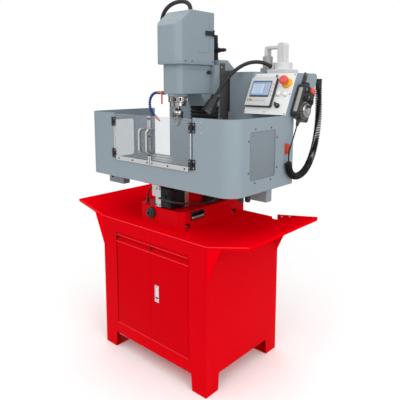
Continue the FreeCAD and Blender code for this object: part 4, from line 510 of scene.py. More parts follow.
def laid(name, route, diameter, finish=None):
    """A round cord on a NURBS spline that has the route's points as its control points."""
    curve = bpy.data.curves.new(name, "CURVE")
    curve.dimensions = "3D"
    curve.resolution_u = 12
    spline = curve.splines.new("NURBS")
    spline.points.add(len(route) - 1)
    spline.points.foreach_set("co", np.column_stack([route, np.ones(len(route))]).ravel())
    spline.order_u = 3
    spline.use_endpoint_u = True
    curve.bevel_depth = diameter / 2
    curve.bevel_resolution = 4
    curve.use_fill_caps = True
    if finish:
        curve.materials.append(finish)
    return linked(bpy.data.objects.new(name, curve))


def walked(points):
    """Distance walked along points, from the first to each."""
    return np.concatenate([[0], np.cumsum(np.linalg.norm(np.diff(points, axis=0), axis=1))])


def followed(route, count):
    """Evenly spaced points on the NURBS line of a route, as the drawn curve gives them."""
    line = laid("route", route, 0.0)
    drawn = bpy.data.meshes.new_from_object(line)
    points = np.empty(len(drawn.vertices) * 3, np.float32)
    drawn.vertices.foreach_get("co", points)
    points = points.reshape(-1, 3).astype(float)
    bpy.data.meshes.remove(drawn)
    bpy.data.curves.remove(line.data)
    even = np.linspace(0, 1, count) * walked(points)[-1]
    return np.stack([np.interp(even, walked(points), points[:, k]) for k in range(3)], -1)


def rubber(name, light, dark, rough, shine=0.35):
    """Extruded rubber or soft plastic: dull, with dusty patches and a fine drawn grain."""
    def build(start):
        dust = grain(start, 45.0, detail=5.0)
        return {"Base Color": mixed(start, dust, light, dark),
                "Roughness": rough + 0.2 * (dust - 0.5),
                "Normal": bump(start, grain(start, 900.0), 0.05, 0.0004)}
    return surface(name, {"Specular IOR Level": shine}, build)


cable_rubber = rubber("cable_rubber", (0.02, 0.02, 0.022), (0.012, 0.012, 0.013), 0.45)
motor_cable_route = [(41, -219, 800), (41, -229, 800.5), (44.5, -238.5, 803), (51, -246, 806),
                     (60, -251, 807.5), (72, -253, 807.5), (90, -250, 804.5), (111, -241, 800.5),
                     (132, -224, 795.5), (149, -199, 790), (160, -165, 784.5), (166, -124, 778.5),
                     (167, -80, 773), (165, -44, 770), (162, -20, 769), (156.5, -5, 769), (147, 5, 769),
                     (135.5, 9, 769), (124, 9, 769)]
sensor_cable_route = [(-86, -150, 815), (-97, -150, 815), (-107.5, -150, 811.5), (-116.5, -150.5, 804.5),
                      (-122.5, -151.5, 795), (-126, -152.5, 784), (-127, -153, 772), (-127, -153, 760)]
for name, route in (("motor_cable", at(motor_cable_route)), ("sensor_cable", at(sensor_cable_route))):
    cable = laid(name, route, CABLE_D * MM, cable_rubber)
    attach(cable, "stand")
    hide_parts("black_fittings")
    float(walked(followed(route, 400))[-1])

# Column: a grey enamelled casting with a slanted rear and dark sheet plates screwed to its sides.
# The screws have plated button heads that stand out light against the plates.
GREY, GREY_DEEP = (0.262, 0.319, 0.356), (0.242, 0.296, 0.33)
COLUMN_ROLL, PLATE_ROLL, PLATE_X, PLATE_FRONT_Y, PLATE_REAR_Y = 1.5, 0.6, 88.0, 130.0, 214.0
PLATE_FRONT_ZS, PLATE_REAR_ZS = (1373.0, 1130.5, 928.0), (1340.0, 1114.0, 928.0)
grey_coat = powder_coat("grey_coat", GREY, GREY_DEEP, 0.38, 0.3)
grey_enamel = powder_coat("grey_enamel", GREY, GREY_DEEP, 0.4, 0.3, 220.0, 0.14)
plate_brown = powder_coat("plate_brown", (0.085, 0.077, 0.071), (0.062, 0.056, 0.052), 0.42, 0.35)
eased("column", grey_enamel, COLUMN_ROLL)
eased("column_covers", plate_brown, PLATE_ROLL)
plate_places = [(PLATE_FRONT_Y, z) for z in PLATE_FRONT_ZS] + [(PLATE_REAR_Y, z) for z in PLATE_REAR_ZS]
plate_screws = [((side * PLATE_X, y, z), (side, 0, 0)) for side in SIDES for y, z in plate_places]
screws("plate_screws", "stand", "bright_steel", zinc, 3.3, 2.2, plate_screws, "fasteners")

# Feed motors: square black motors with a flange, a ribbed body and a smaller rear cap that holds the encoder.
# Two stand on the frame and one on the table's end; each has a plug or gland for its cable.
# The front one is clamped to an alloy block by a screwed bracket plate.
Z_MOTOR_HALF, Z_MOTOR_L, Z_MOTOR_Y, COLUMN_TOP, PLUG_Z = 31.5, 121.0, 148.0, 1408.0, 1455.0
Y_MOTOR_HALF, Y_MOTOR_L, Y_MOTOR_SEAT, Y_MOTOR_FACE = 47.0, 84.0, (38, -121, 797), -205.0
X_MOTOR_HALF, X_MOTOR_L, X_MOTOR_SEAT, X_PLUG = 27.0, 78.0, (242, -75, 914.5), (302, -75, 941.5)
RIB_COUNT, BRACKET, BRACKET_T, Y_GLAND = 5, (5, Y_MOTOR_FACE, 797), 2.4, (41, Y_MOTOR_FACE, 800)
BRACKET_SCREWS = [(x, z, BRACKET_T - 0.2) for x in (-10, 10) for z in (-36, 36)]
motor_black = powder_coat("motor_black", (0.007, 0.007, 0.008), (0.004, 0.004, 0.005), 0.4, 0.2)


def motor_block(half, length):
    """Square motor: flange, body with shallow cooling grooves, then a drawn-in cap with a rolled end."""
    flange, cap = 0.09 * length, 0.34 * length
    steps = [(0, 0), (0, flange - 1), (1, flange)]
    for foot in np.linspace(flange + 3, length - cap - 3, RIB_COUNT + 1)[:-1]:
        steps += [(1.2, foot), (1.2, foot + 4), (2.2, foot + 4.6), (2.2, foot + 6)]
    steps += [(1.2, length - cap - 2), (1.2, length - cap), (3.2, length - cap + 0.4), (3.2, length - 4),
              (4.2, length - 1.4), (7, length)]
    return slab(half, half, min(8.0, 0.2 * half + 2), steps)


def cable_plug(r, h, tail_r, tail):
    """Round connector with a grip ring and a tapered boot on the cable."""
    return lathe([(r, 0), (r, 0.25 * h), (0.9 * r, 0.3 * h), (0.9 * r, 0.4 * h), (r, 0.45 * h), (r, 0.9 * h),
                  (0.85 * r, h), (tail_r, h), (tail_r, h + 0.7 * tail), (0.75 * tail_r, h + tail)], 32)


piece("frame_motors", "stand", "black_metal",
      (motor_black, seat((0, Z_MOTOR_Y, COLUMN_TOP))(motor_block(Z_MOTOR_HALF, Z_MOTOR_L))),
      (black_mould, seat((Z_MOTOR_HALF, Z_MOTOR_Y, PLUG_Z), RIGHT)(cable_plug(12, 30, 9, 35))),
      (motor_black, seat(Y_MOTOR_SEAT, FRONT)(motor_block(Y_MOTOR_HALF, Y_MOTOR_L))),
      (black_mould, seat(Y_GLAND, FRONT)(gland(8, 14))),
      stands_for="axis_motors")
top_plug = lathe([(9, 0), (9, 12), (7, 15), (4, 16)], 32)
piece("table_motor", "table_slide", "black_metal",
      (motor_black, seat(X_MOTOR_SEAT, RIGHT, BACK)(motor_block(X_MOTOR_HALF, X_MOTOR_L))),
      (black_mould, seat(X_PLUG)(top_plug)),
      stands_for="x_motor")
alloy = metal("alloy", (0.66, 0.66, 0.67), (0.5, 0.5, 0.51), 0.26, (0.1, 1.0, 1.0), 90.0)
eased("y_drive_blocks", alloy)
bracket = seat(BRACKET, FRONT)
bracket_plate = slab(15.5, 45, 1.5, [(0, -0.5), (0, BRACKET_T - 0.6), (0.6, BRACKET_T)])
bracket_screws = [(black_oxide, bracket(button_head(3.5, 2.2) + place)) for place in BRACKET_SCREWS]
piece("motor_bracket", "stand", "aluminium", (alloy, bracket(bracket_plate)), *bracket_screws)

# Feed screws: rolled steel screws with two starts and plain journals at their ends.
# They turn in nuts on the slide, the saddle and the table, five millimetres from crest to crest.
LEAD, STARTS, THREAD_DEEP, JOURNAL, THREAD_STEPS = 10.0, 2, 1.1, 14.0, 6
screw_steel = metal("screw_steel", (0.62, 0.62, 0.63), (0.42, 0.42, 0.43), 0.24, scale=120.0)


def threaded(r, length):
    """Rod whose radius dips by a clipped sine of height over lead less angle, but for its journals."""
    turn = np.linspace(0, 2 * np.pi, 24, endpoint=False)
    h = np.linspace(0, length, int(length / LEAD * STARTS * THREAD_STEPS))[:, None]
    wave = np.clip(2.2 * np.sin(2 * np.pi * STARTS * h / LEAD - STARTS * turn), -1, 1)
    cut = (h > JOURNAL) & (h < length - JOURNAL)
    radius = r - THREAD_DEEP * (0.5 - 0.5 * wave) * cut
    return np.stack([radius * np.cos(turn), radius * np.sin(turn), h + 0 * turn], -1)


for axis, origin, out, r, length in (("z", (0, Z_MOTOR_Y, 800), UP, 9, 607.7),
                                     ("y", (38, -120.7, 797), BACK, 8, 228.7),
                                     ("x", (-242, -75, 914.5), RIGHT, 7, 483.7)):
    thread = seat(origin, out, (0.3, 0.5, 0.8))(threaded(r, length))
    piece(axis + "_screw_thread", axis + "_feed", "bright_steel", (screw_steel, thread),
          stands_for=axis + "_screw")

# Saddle and table: a cast saddle on the base's deck, and a ground iron table with three tee slots.
# The table's top is surface-ground along its length, which leaves long fine marks.
SADDLE_ROLL, TABLE_ROLL = 1.2, 0.6
ground_iron = metal("ground_iron", (0.5, 0.5, 0.51), (0.36, 0.36, 0.37), 0.3, (0.04, 1.0, 1.0), 320.0)
eased("saddle", grey_enamel, SADDLE_ROLL)
eased("table", ground_iron, TABLE_ROLL)

# Way cover: a folded rubber-cloth bellows between the slide and the enclosure's floor.
# It is built as one mesh, baked into the frame and tied to no body.
PLEATS, PLEAT_DEEP, BELLOWS_HALF_W, BELLOWS_FRONT, BELLOWS_REAR = 17, 9.0, 83.0, 86.0, 117.7
BELLOWS_LOW, BELLOWS_HIGH, PLEAT_STEPS = 884.0, 1191.7, 8
bellows_cloth = rubber("bellows_cloth", (0.03, 0.03, 0.032), (0.016, 0.016, 0.017), 0.5)


def pleated():
    """Rectangles stacked up: three sides draw in and out as a softened zigzag, the rear stays flat."""
    fold = np.arange(PLEATS * PLEAT_STEPS + 1) / PLEAT_STEPS
    out = 1 - np.abs(2 * (fold % 1) - 1)
    steps = np.stack([PLEAT_DEEP * (1 - out ** 0.8), (BELLOWS_HIGH - BELLOWS_LOW) * fold / PLEATS], -1)
    half_y = (BELLOWS_REAR - BELLOWS_FRONT) / 2
    rings = slab(BELLOWS_HALF_W, half_y, PLEAT_DEEP, steps)
    rings[:, :10, 1] = half_y
    return rings


bellows_foot = seat((0, (BELLOWS_FRONT + BELLOWS_REAR) / 2, BELLOWS_LOW))
bellows = piece("way_cover", None, "bellows_rubber", (bellows_cloth, bellows_foot(pleated())),
                stands_for="z_bellows", corner=60.0)
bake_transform(bellows)

# Head: a cast housing on its slide, with a sheet-metal motor hood over it, both painted the machine's grey.
# The hood is screwed on along its foot; a black latch holds its service flap, and the housing has a knob.
HOOD_SIDE, HOUSING_SIDE, HOOD_TOP, HOOD_SCREW_Z, HOOD_SCREW_YS = 75.0, 58.0, 1618.0, 1397.0, (-100, -60, 79)
KNOB_Y, KNOB_Z, LATCH_Y, LATCH_Z, EAR_ZS, EAR_OUT = 64.0, 1349.0, 82.0, 1510.0, (1509.7, 1534.3), 4.5
SEAMS = ((HOOD_SIDE, 56, 1574, 0.6, 35), (HOOD_SIDE, 56, 1475, 0.6, 38), (HOOD_SIDE, 18, 1437, 38.6, 0.6),
         (HOUSING_SIDE, -5, 1362, 80, 0.6))
for node, finish, roll in (("z_slide", grey_enamel, 1.2), ("head_casting", grey_enamel, 1.4),
                           ("motor_cover", grey_coat, 1.2), ("cover_latch", black_mould, 1.2)):
    eased(node, finish, roll)
hood_screws = [((side * HOOD_SIDE, y, HOOD_SCREW_Z), (side, 0, 0)) for side in SIDES for y in HOOD_SCREW_YS]
screws("hood_screws", "head", "bright_steel", black_oxide, 3.0, 2.2, hood_screws, "head_fittings")


def knurled(profile, sides, depth, low_ring, high_ring):
    """A turned profile whose rings from low to high have every other side drawn in."""
    rings = lathe(profile, sides)
    radius = np.linalg.norm(rings[low_ring:high_ring, :1, :2], axis=-1, keepdims=True)
    rings[low_ring:high_ring, ::2, :2] *= 1 - depth / radius
    return rings


side_knob = knurled([(5, 0), (5, 6), (8.4, 6), (9, 7), (9, 13.5), (8.4, 14.6), (6, 15)], 36, 0.5, 3, 5)
latch_ear = slab(4.5, 5, 1.5, [(0, 0), (0, 3.5), (0.5, 4)])
latch_ears = [(black_mould, seat((HOOD_SIDE + EAR_OUT, LATCH_Y, z))(latch_ear)) for z in EAR_ZS]
latch_pin = lathe([(2, 0), (2, 28)], 16)
piece("head_trim", "head", "black_metal",
      (black_mould, seat((HOUSING_SIDE, KNOB_Y, KNOB_Z), RIGHT)(side_knob)), *latch_ears,
      (zinc, seat((HOOD_SIDE + 5, LATCH_Y, LATCH_Z))(latch_pin)),
      stands_for="head_fittings")
seam_dark = plastic("seam_dark", (0.1, 0.12, 0.135), (0.075, 0.09, 0.1), 0.5, 0.2)


def seam(x, y, z, across, up):
    """A narrow joint strip on the right side, of given half width and half height."""
    return seam_dark, seat((x, y, z), RIGHT, BACK)(slab(across, up, 0.5, [(0, -0.4), (0, 0.1), (0.2, 0.25)]))


piece("hood_seams", "head", "grey_paint", *[seam(*place) for place in SEAMS])

# Motor hose: finely ribbed black conduit from the hood's top gland to an elbow on the column's left side.
# The conduit is one mesh baked into the frame and tied to no body; its elbow stays on the column and its top
# gland rides with the head.
HOSE_D, HOSE_RIB, HOSE_RIB_DEEP, HOSE_Y = 20.0, 5.0, 0.25, 11.0
ELBOW_R, ELBOW_GROOVE, ELBOW_RINGS, ELBOW_GROOVES = 14.0, 1.2, 40, (9, 30)
hose_route = at([(0, HOSE_Y, 1626), (0, HOSE_Y, 1637), (-3.5, HOSE_Y, 1648), (-10.5, HOSE_Y, 1657.5),
                 (-20.5, HOSE_Y, 1665), (-34, HOSE_Y, 1671), (-51, HOSE_Y, 1674.5), (-73, HOSE_Y, 1676),
                 (-100, HOSE_Y, 1674), (-131, 12, 1667.5), (-160, 13.5, 1654), (-184, 16, 1633),
                 (-201, 21.5, 1607), (-211, 30.5, 1575), (-214, 45, 1539), (-211, 64, 1504), (-204, 86, 1471),
                 (-194, 108, 1442), (-181, 129, 1417), (-167, 147, 1396), (-152, 160.5, 1379),
                 (-138, 170, 1364), (-125, 176, 1351)])
elbow_route = at([(-125, 176, 1351), (-112.5, 181.8, 1338.5), (-104.8, 185.3, 1330.8), (-98, 185.3, 1330.8),
                  (-88, 185.3, 1330.8)])


def tube(path, radius, lean, sides=18):
    """Rings about a path, each square to it and turned by leaning on one fixed direction."""
    run = np.gradient(path, axis=0)
    run /= np.linalg.norm(run, axis=1, keepdims=True)
    side = np.cross(lean, run)
    side /= np.linalg.norm(side, axis=1, keepdims=True)
    other = np.cross(run, side)
    turn = np.linspace(0, 2 * np.pi, sides, endpoint=False)
    r = (np.zeros(len(path)) + radius)[:, None, None] * MM
    spokes = np.cos(turn)[:, None] * side[:, None] + np.sin(turn)[:, None] * other[:, None]
    return path[:, None] + r * spokes


def ribbed(path, diameter, pitch, deep):
    """Radius along a path: a cosine of the way walked, one wave for each rib."""
    return diameter / 2 - deep + deep * np.cos(2 * np.pi * walked(path) / (pitch * MM))


hose_path = followed(hose_route, 700)
hose_black = rubber("hose_black", (0.026, 0.026, 0.028), (0.014, 0.014, 0.015), 0.34)
hose = piece("motor_conduit", None, "hose_rubber",
             (hose_black, tube(hose_path, ribbed(hose_path, HOSE_D, HOSE_RIB, HOSE_RIB_DEEP), BACK)),
             stands_for="motor_hose", corner=70.0)
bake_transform(hose)
ring_order = np.arange(ELBOW_RINGS)
elbow_radius = ELBOW_R - ELBOW_GROOVE * sum(np.abs(ring_order - groove) < 2 for groove in ELBOW_GROOVES)
elbow = tube(followed(elbow_route, ELBOW_RINGS), elbow_radius, BACK, 24)
piece("hose_elbow", "stand", "black_plastic", (black_mould, elbow), stands_for="black_fittings")
hood_gland = seat((0, HOSE_Y, HOOD_TOP - 0.5))(gland(16.5, 12))
piece("hood_gland", "head", "black_plastic", (black_mould, hood_gland))

# Spindle and chuck: a hardened steel nose with drive slots, and a keyless drill chuck on its arbor.
# The nose is turned and ground bright; the chuck's sleeve is knurled for the hand.
SPINDLE_Y, NOSE_SIDES, NOSE_R, SLOT_HALF, SLOT_R, FLUTES, FLUTE_CUT = -75.0, 120, 38.0, 8.0, 28.0, 12, 0.88
JAW_OUT, JAWS, BAND_W = 4.0, 3, 3.0
ground_steel = metal("ground_steel", (0.46, 0.45, 0.44), (0.31, 0.3, 0.29), 0.16, (1.0, 1.0, 0.05), 260.0)
spindle_axis = seat((0, SPINDLE_Y, 0))


def slotted_nose():
    """Turned nose whose lower rim is drawn in over two opposite sectors, and its band over twelve flutes."""
    rings = lathe([(9, 1186), (9, 1197), (36.8, 1197), (NOSE_R, 1198.2), (NOSE_R, 1207), (NOSE_R, 1207.1),
                   (NOSE_R, 1213.5), (42.6, 1215), (44, 1216.4), (44, 1220), (44, 1220.6), (44, 1234),
                   (44, 1234.6), (44, 1238.4), (43, 1239.5), (20, 1239.5), (20, 1389)], NOSE_SIDES)
    turn = np.linspace(0, 2 * np.pi, NOSE_SIDES, endpoint=False)
    slot = np.where(np.abs(np.sin(turn)) * NOSE_R < SLOT_HALF, SLOT_R / NOSE_R, 1.0)
    flute = np.where(np.cos(FLUTES * turn) > 0.35, FLUTE_CUT, 1.0)
    rings[2:5, :, :2] *= slot[:, None]
    rings[10:12, :, :2] *= flute[:, None]
    return rings


# A black ring behind the flutes is painted shade on their floors.
flute_shade_ring = lathe([(40, 1220.8), (40, 1233.8)], 60)
piece("spindle_nose", "spindle_shaft", "bright_steel", (ground_steel, spindle_axis(slotted_nose())),
      (black_and_painted_shade, spindle_axis(flute_shade_ring)), stands_for="spindle")
chuck = knurled([(7, 1134), (7, 1106), (9, 1106), (17, 1131), (21, 1133), (21, 1139), (22.6, 1140.2),
                 (23.4, 1141.5), (23.4, 1171), (22.6, 1172.4), (16, 1182), (13, 1186)], 120, 0.45, 7, 9)
chuck_bands = [lathe([(r, z), (r + 0.3, z + 0.4), (r + 0.3, z + BAND_W - 0.4), (r, z + BAND_W)], 60)
               for r, z in ((21, 1135.5), (23.3, 1153.0), (23.3, 1161.0))]
jaw = lathe([(0.8, 1103), (2.4, 1108), (2.4, 1134)], 12)
jaw_turns = np.arange(JAWS) * 2 * np.pi / JAWS
jaws = [jaw + (JAW_OUT * math.cos(turn), JAW_OUT * math.sin(turn), 0) for turn in jaw_turns]
piece("keyless_chuck", "spindle_shaft", "bright_steel", (ground_steel, spindle_axis(chuck)),
      *[(black_and_painted_shade, spindle_axis(band)) for band in chuck_bands],
      *[(ground_steel, spindle_axis(one)) for one in jaws], stands_for="drill_chuck")

# Coolant tap: a brass cock on the head's left side with a red lever, a hose of blue ball links and a nozzle.
# The links snap over each other and hold any bend; the nozzle is an orange moulding.
COOL_Y, COOL_Z, TAP_X, NUT_X, NOZZLE, NOZZLE_AIM = -94.0, 1256.0, -72.0, -100.0, (-130, 1143), (14, 0, -9)
LINKS, LINK_STEPS, LINK_R, LINK_NECK, LINK_MIDDLE = 15, 10, 7.0, 0.52, 0.45
brass = metal("brass", (0.72, 0.33, 0.13), (0.55, 0.22, 0.08), 0.28, scale=150.0)
orange_mould = plastic("orange_mould", (0.72, 0.17, 0.05), (0.62, 0.13, 0.04), 0.4)
lever_red = plastic("lever_red", (0.62, 0.09, 0.08), (0.52, 0.06, 0.06), 0.35)
link_blue = plastic("link_blue", (0.02, 0.045, 0.3), (0.015, 0.03, 0.22), 0.3)
hose_bend = [(-112, COOL_Z), (-127, COOL_Z), (-142, 1251), (-155, 1242), (-164.5, 1229), (-169.5, 1213),
             (-170, 1196), (-165.5, 1179), (-156.5, 1164), (-144, 1152), NOZZLE]
hose_line = at([(x, COOL_Y, z) for x, z in hose_bend])
hose_nut = lathe([(0.9, 0), (1, 1), (1, 11), (0.9, 12)], 24)
hose_nut[:, :, :2] *= hexagon(24, 15.6)
cock = slab(9, 9, 2.5, [(1, -9), (0, -8), (0, 8), (1, 9)])
nozzle = lathe([(6, -2), (7, 0), (7, 6), (6.2, 7), (6.2, 9), (6.6, 10), (3.5, 34), (2, 34), (2, 20)], 24)
tap_seat = seat((TAP_X, COOL_Y, COOL_Z), FRONT)
piece("coolant_cock", "head", "brass",
      (brass, seat((-HOUSING_SIDE, COOL_Y, COOL_Z), LEFT)(lathe([(6, 0), (6, 54)], 24))),
      (brass, tap_seat(cock)), (brass, tap_seat(lathe([(3, 0), (3, 15), (2.4, 16)], 16))),
      (brass, seat((NUT_X, COOL_Y, COOL_Z), LEFT)(hose_nut)),
      (orange_mould, seat((NOZZLE[0], COOL_Y, NOZZLE[1]), NOZZLE_AIM, BACK)(nozzle)),
      stands_for="coolant_fittings")
eased("valve_lever", lever_red)
link_share = (np.arange(LINKS * LINK_STEPS + 1) / LINK_STEPS) % 1
link_ball = np.sqrt(np.clip(1 - ((link_share - LINK_MIDDLE) / LINK_MIDDLE) ** 2, 0, 1))
link_radius = LINK_R * (LINK_NECK + (1 - LINK_NECK) * link_ball)
piece("coolant_links", "head", "blue_plastic",
      (link_blue, tube(followed(hose_line, LINKS * LINK_STEPS + 1), link_radius, BACK, 20)),
      stands_for="coolant_hose", corner=50.0)

# Splash enclosure: one bent sheet round the table, and a floor with rear walls, one tall behind the spindle.
# Small boxes and two glands hang under the floor. The side windows are clear sheet set inside the walls,
# held by dark screws round their edges.
DOWN = (0, 0, -1)
WALL_X, WALL_FRONT, FLOOR_Z, SHEET_ROLL, WINDOW_ROLL = 455.0, -246.0, 862.0, 0.7, 0.4
WINDOW_SCREWS = [(y, z) for y in (-149, 49) for z in (952, 1077)]
WINDOW_SCREWS += [(y, z) for y in (-105, 5) for z in (908, 1121)]
RIVET_X, RIVET_ZS, FLOOR_GLANDS = 297.0, (1105.0, 1146.0), ((420, -148), (432, -119))
for node in ("enclosure_wall", "enclosure_floor"):
    eased(node, grey_coat, SHEET_ROLL)


def clear_sheet(name, tint, cover):
    """Lightly smoked plastic sheet: wiped unevenly, with fine scratches in its gloss."""
    def build(start):
        wipe = grain(start, 9.0, (1.0, 1.0, 0.35), 3.0)
        paler = tuple(1.15 * c for c in tint)
        return {"Base Color": mixed(start, wipe, tint, paler),
                "Alpha": cover + 0.08 * (wipe - 0.5),
                "Roughness": 0.06 + 0.12 * grain(start, 60.0, (1.0, 1.0, 0.1), 4.0)}
    return surface(name, {"Specular IOR Level": 0.5}, build)


clear_pane = clear_sheet("clear_pane", (0.36, 0.42, 0.455), 0.2)
side_pane = clear_sheet("side_pane", (0.33, 0.385, 0.415), 0.3)
eased("side_windows", side_pane, WINDOW_ROLL)
window_screws = [((side * WALL_X, y, z), (side, 0, 0)) for side in SIDES for y, z in WINDOW_SCREWS]
screws("window_screws", "stand", "bright_steel", black_oxide, 3.5, 2.5, window_screws, "fasteners")
wall_rivets = [((side * RIVET_X, WALL_FRONT, z), FRONT) for side in SIDES for z in RIVET_ZS]
screws("wall_rivets", "stand", "bright_steel", zinc, 3.4, 2.0, wall_rivets)
floor_glands = [(black_mould, seat((x, y, FLOOR_Z), DOWN)(gland(13, 32))) for x, y in FLOOR_GLANDS]
piece("floor_glands", "stand", "black_plastic", *floor_glands, stands_for="black_fittings")

# Front doors: two clear panes with bright rails along their feet and meeting strips, and bridge handles.
# Each hangs on two black hinges; the rails are held by black screws and the hinges by bright ones.
PANE_ROLL, TRIM_ROLL, HINGE_ROLL = 0.5, 0.9, 0.5
RAIL_FACE, RAIL_Z, RAIL_SCREW_XS = -253.0, 955.0, (16, 114, 212)
STRIP_X, STRIP_SCREW_ZS = 5.5, (990, 1072, 1148)
PANE_FACE, PANE_EDGE_X, PANE_EDGE_Z = -249.5, 244.5, 1050.0
LEAF_FACE, LEAF_T, LEAF_XS, LEAF_SCREW_ZS = -253.5, 4.0, (239.5, 260.5), (963, 989, 1111, 1137)
bright_rail = metal("bright_rail", (0.68, 0.68, 0.69), (0.54, 0.54, 0.55), 0.2, (0.15, 1.0, 1.0), 120.0)
hinge_black = powder_coat("hinge_black", (0.018, 0.018, 0.019), (0.011, 0.011, 0.012), 0.4, 0.4)
pane_edge = slab(3.5, 52, 1, [(0, 0), (0, 1.2), (0.4, 1.6)])
for side, hand in ((-1, "left"), (1, "right")):
    eased("door_pane_" + hand, clear_pane, PANE_ROLL)
    eased("door_trim_" + hand, bright_rail, TRIM_ROLL)
    eased("hinge_leaves_" + hand, hinge_black, HINGE_ROLL)
    rail_screws = [((side * x, RAIL_FACE, RAIL_Z), FRONT) for x in RAIL_SCREW_XS]
    rail_screws += [((side * STRIP_X, RAIL_FACE, z), FRONT) for z in STRIP_SCREW_ZS]
    screws("rail_screws_" + hand, "door_" + hand, "black_metal", black_and_painted_shade, 3.8, 1.8, rail_screws)
    edge_seat = seat((side * PANE_EDGE_X, PANE_FACE, PANE_EDGE_Z), FRONT)
    piece("pane_edge_" + hand, "door_" + hand, "bright_steel", (bright_rail, edge_seat(pane_edge)))
    leaf_screws = [((side * LEAF_XS[0], LEAF_FACE, z), FRONT) for z in LEAF_SCREW_ZS]
    screws("leaf_screws_" + hand, "door_" + hand, "bright_steel", zinc, 2.6, 1.4, leaf_screws)
eased("hinge_leaves_fixed", hinge_black, HINGE_ROLL)
fixed_screws = [((side * LEAF_XS[1], WALL_FRONT - LEAF_T, z), FRONT) for side in SIDES for z in LEAF_SCREW_ZS]
screws("fixed_leaf_screws", "stand", "bright_steel", zinc, 2.6, 1.4, fixed_screws)

# Control cabinet and console: welded sheet boxes in the machine's grey, the console leaning back for the eye.
# A white coated plate closes the console's front; it is held by small dark screws along its edges.
CONSOLE_X0, CONSOLE_X1, CONSOLE_FOOT, CONSOLE_FRONT = 238.0, 455.0, 1164.0, 105.0
PANEL_BACK, PANEL_RISE, BOX_ROLL, PANEL_ROLL, PANEL_SCREW_IN = 88.0, 179.0, 0.9, 0.7, 6.0
LEAN = math.atan2(PANEL_BACK, PANEL_RISE)
UP_SLOPE = np.array([0, math.sin(LEAN), math.cos(LEAN)])
OFF_PANEL = np.array([0, -math.cos(LEAN), math.sin(LEAN)])
panel = seat((0, CONSOLE_FRONT, CONSOLE_FOOT), OFF_PANEL)
white_coat = powder_coat("white_coat", (0.77, 0.78, 0.78), (0.72, 0.73, 0.73), 0.35, 0.3)
eased("control_box", grey_coat, BOX_ROLL)
eased("console_box", grey_coat, BOX_ROLL)
eased("console_panel", white_coat, PANEL_ROLL)
left_x, right_x = CONSOLE_X0 + PANEL_SCREW_IN, CONSOLE_X1 - PANEL_SCREW_IN
panel_screws = [(black_mould, panel(button_head(2.6, 1.5) + (x, v, 0)))
                for x, v in ((left_x, 8), ((left_x + right_x) / 2, 12), (right_x, 8), (right_x, 100),
                             (right_x, 192), (left_x, 192))]
piece("panel_screws", "stand", "black_metal", *panel_screws)

# Display unit: a dark moulded case with a pale face plate, a sunk glass screen and two sets of soft keys.
# The screen glows pale blue with a window, a column of boxes and a dark footer; its keys are rubber.
UNIT_X0, UNIT_X1, UNIT_V0, UNIT_V1, UNIT_T, FACE_IN = 240.5, 376.0, 33.0, 172.0, 18.0, 1.6
SCREEN_X0, SCREEN_X1, SCREEN_V0, SCREEN_V1 = 258.0, 354.0, 78.0, 151.0
KEY_W, KEY_H, KEY_STEP, SIDE_KEY_STEP, SIDE_KEYS = 11.0, 10.0, 14.0, 17.0, 4
case_dark = plastic("case_dark", (0.05, 0.052, 0.055), (0.035, 0.036, 0.038), 0.42)
face_grey = plastic("face_grey", (0.62, 0.62, 0.61), (0.55, 0.55, 0.54), 0.4)


def between(value, low_end, high_end):
    """1 where value lies between two ends, else 0."""
    return (value > low_end) * (value < high_end)


def screen_glow(start):
    """Pale blue field, a paler window with ruled lines, a darker column of boxes and a dark footer."""
    across = (along(start, RIGHT) - SCREEN_X0 * MM) * (1 / ((SCREEN_X1 - SCREEN_X0) * MM))
    foot = float(np.dot(at((0, CONSOLE_FRONT, CONSOLE_FOOT)), UP_SLOPE)) + SCREEN_V0 * MM
    up = (along(start, tuple(UP_SLOPE)) - foot) * (1 / ((SCREEN_V1 - SCREEN_V0) * MM))
    rows = start.maths("PINGPONG", up, 0.055) > 0.04
    boxes = start.maths("PINGPONG", up, 0.07) > 0.02
    window = between(across, 0.05, 0.66) * between(up, 0.2, 0.82)
    column = between(across, 0.74, 0.97) * between(up, 0.14, 0.92)
    colour = mixed(start, window, (0.33, 0.5, 0.78), (0.66, 0.77, 0.92))
    for share, tint in ((window * rows * between(across, 0.12, 0.55), (0.3, 0.42, 0.62)),
                        (column, (0.2, 0.3, 0.46)), (column * boxes, (0.52, 0.62, 0.78)),
                        (up < 0.1, (0.05, 0.08, 0.14)), (up > 0.93, (0.12, 0.2, 0.38))):
        colour = mixed(start, share, colour, tint)
    return {"Base Color": mixed(start, grain(start, 300.0), (0.02, 0.02, 0.025), (0.03, 0.03, 0.035)),
            "Emission Color": colour,
            "Roughness": 0.12 + 0.06 * grain(start, 80.0)}


def rolled(bottom, top, roll):
    """Steps of a wall from bottom to top that ends in a quarter round."""
    turn = np.linspace(0, np.pi / 2, 4)
    return [(0, bottom)] + [(roll * (1 - math.cos(t)), top - roll * (1 - math.sin(t))) for t in turn]


def block(x0, x1, v0, v1, corner, steps):
    """A rounded block on the panel between two widths and two heights."""
    return panel(slab((x1 - x0) / 2, (v1 - v0) / 2, corner, steps, ((x0 + x1) / 2, (v0 + v1) / 2)))


def soft_key(x, v):
    """A key cap on the face plate, its lower left corner at x and v."""
    return block(x, x + KEY_W, v, v + KEY_H, 2, rolled(UNIT_T - 1, UNIT_T + 1.1, 0.8))


def rubber_key(name, tint):
    """Soft key cap: even colour rubbed paler in patches."""
    pale = tuple(min(1.0, 1.25 * c + 0.02) for c in tint)
    return plastic(name, tint, pale, 0.5, 0.3)


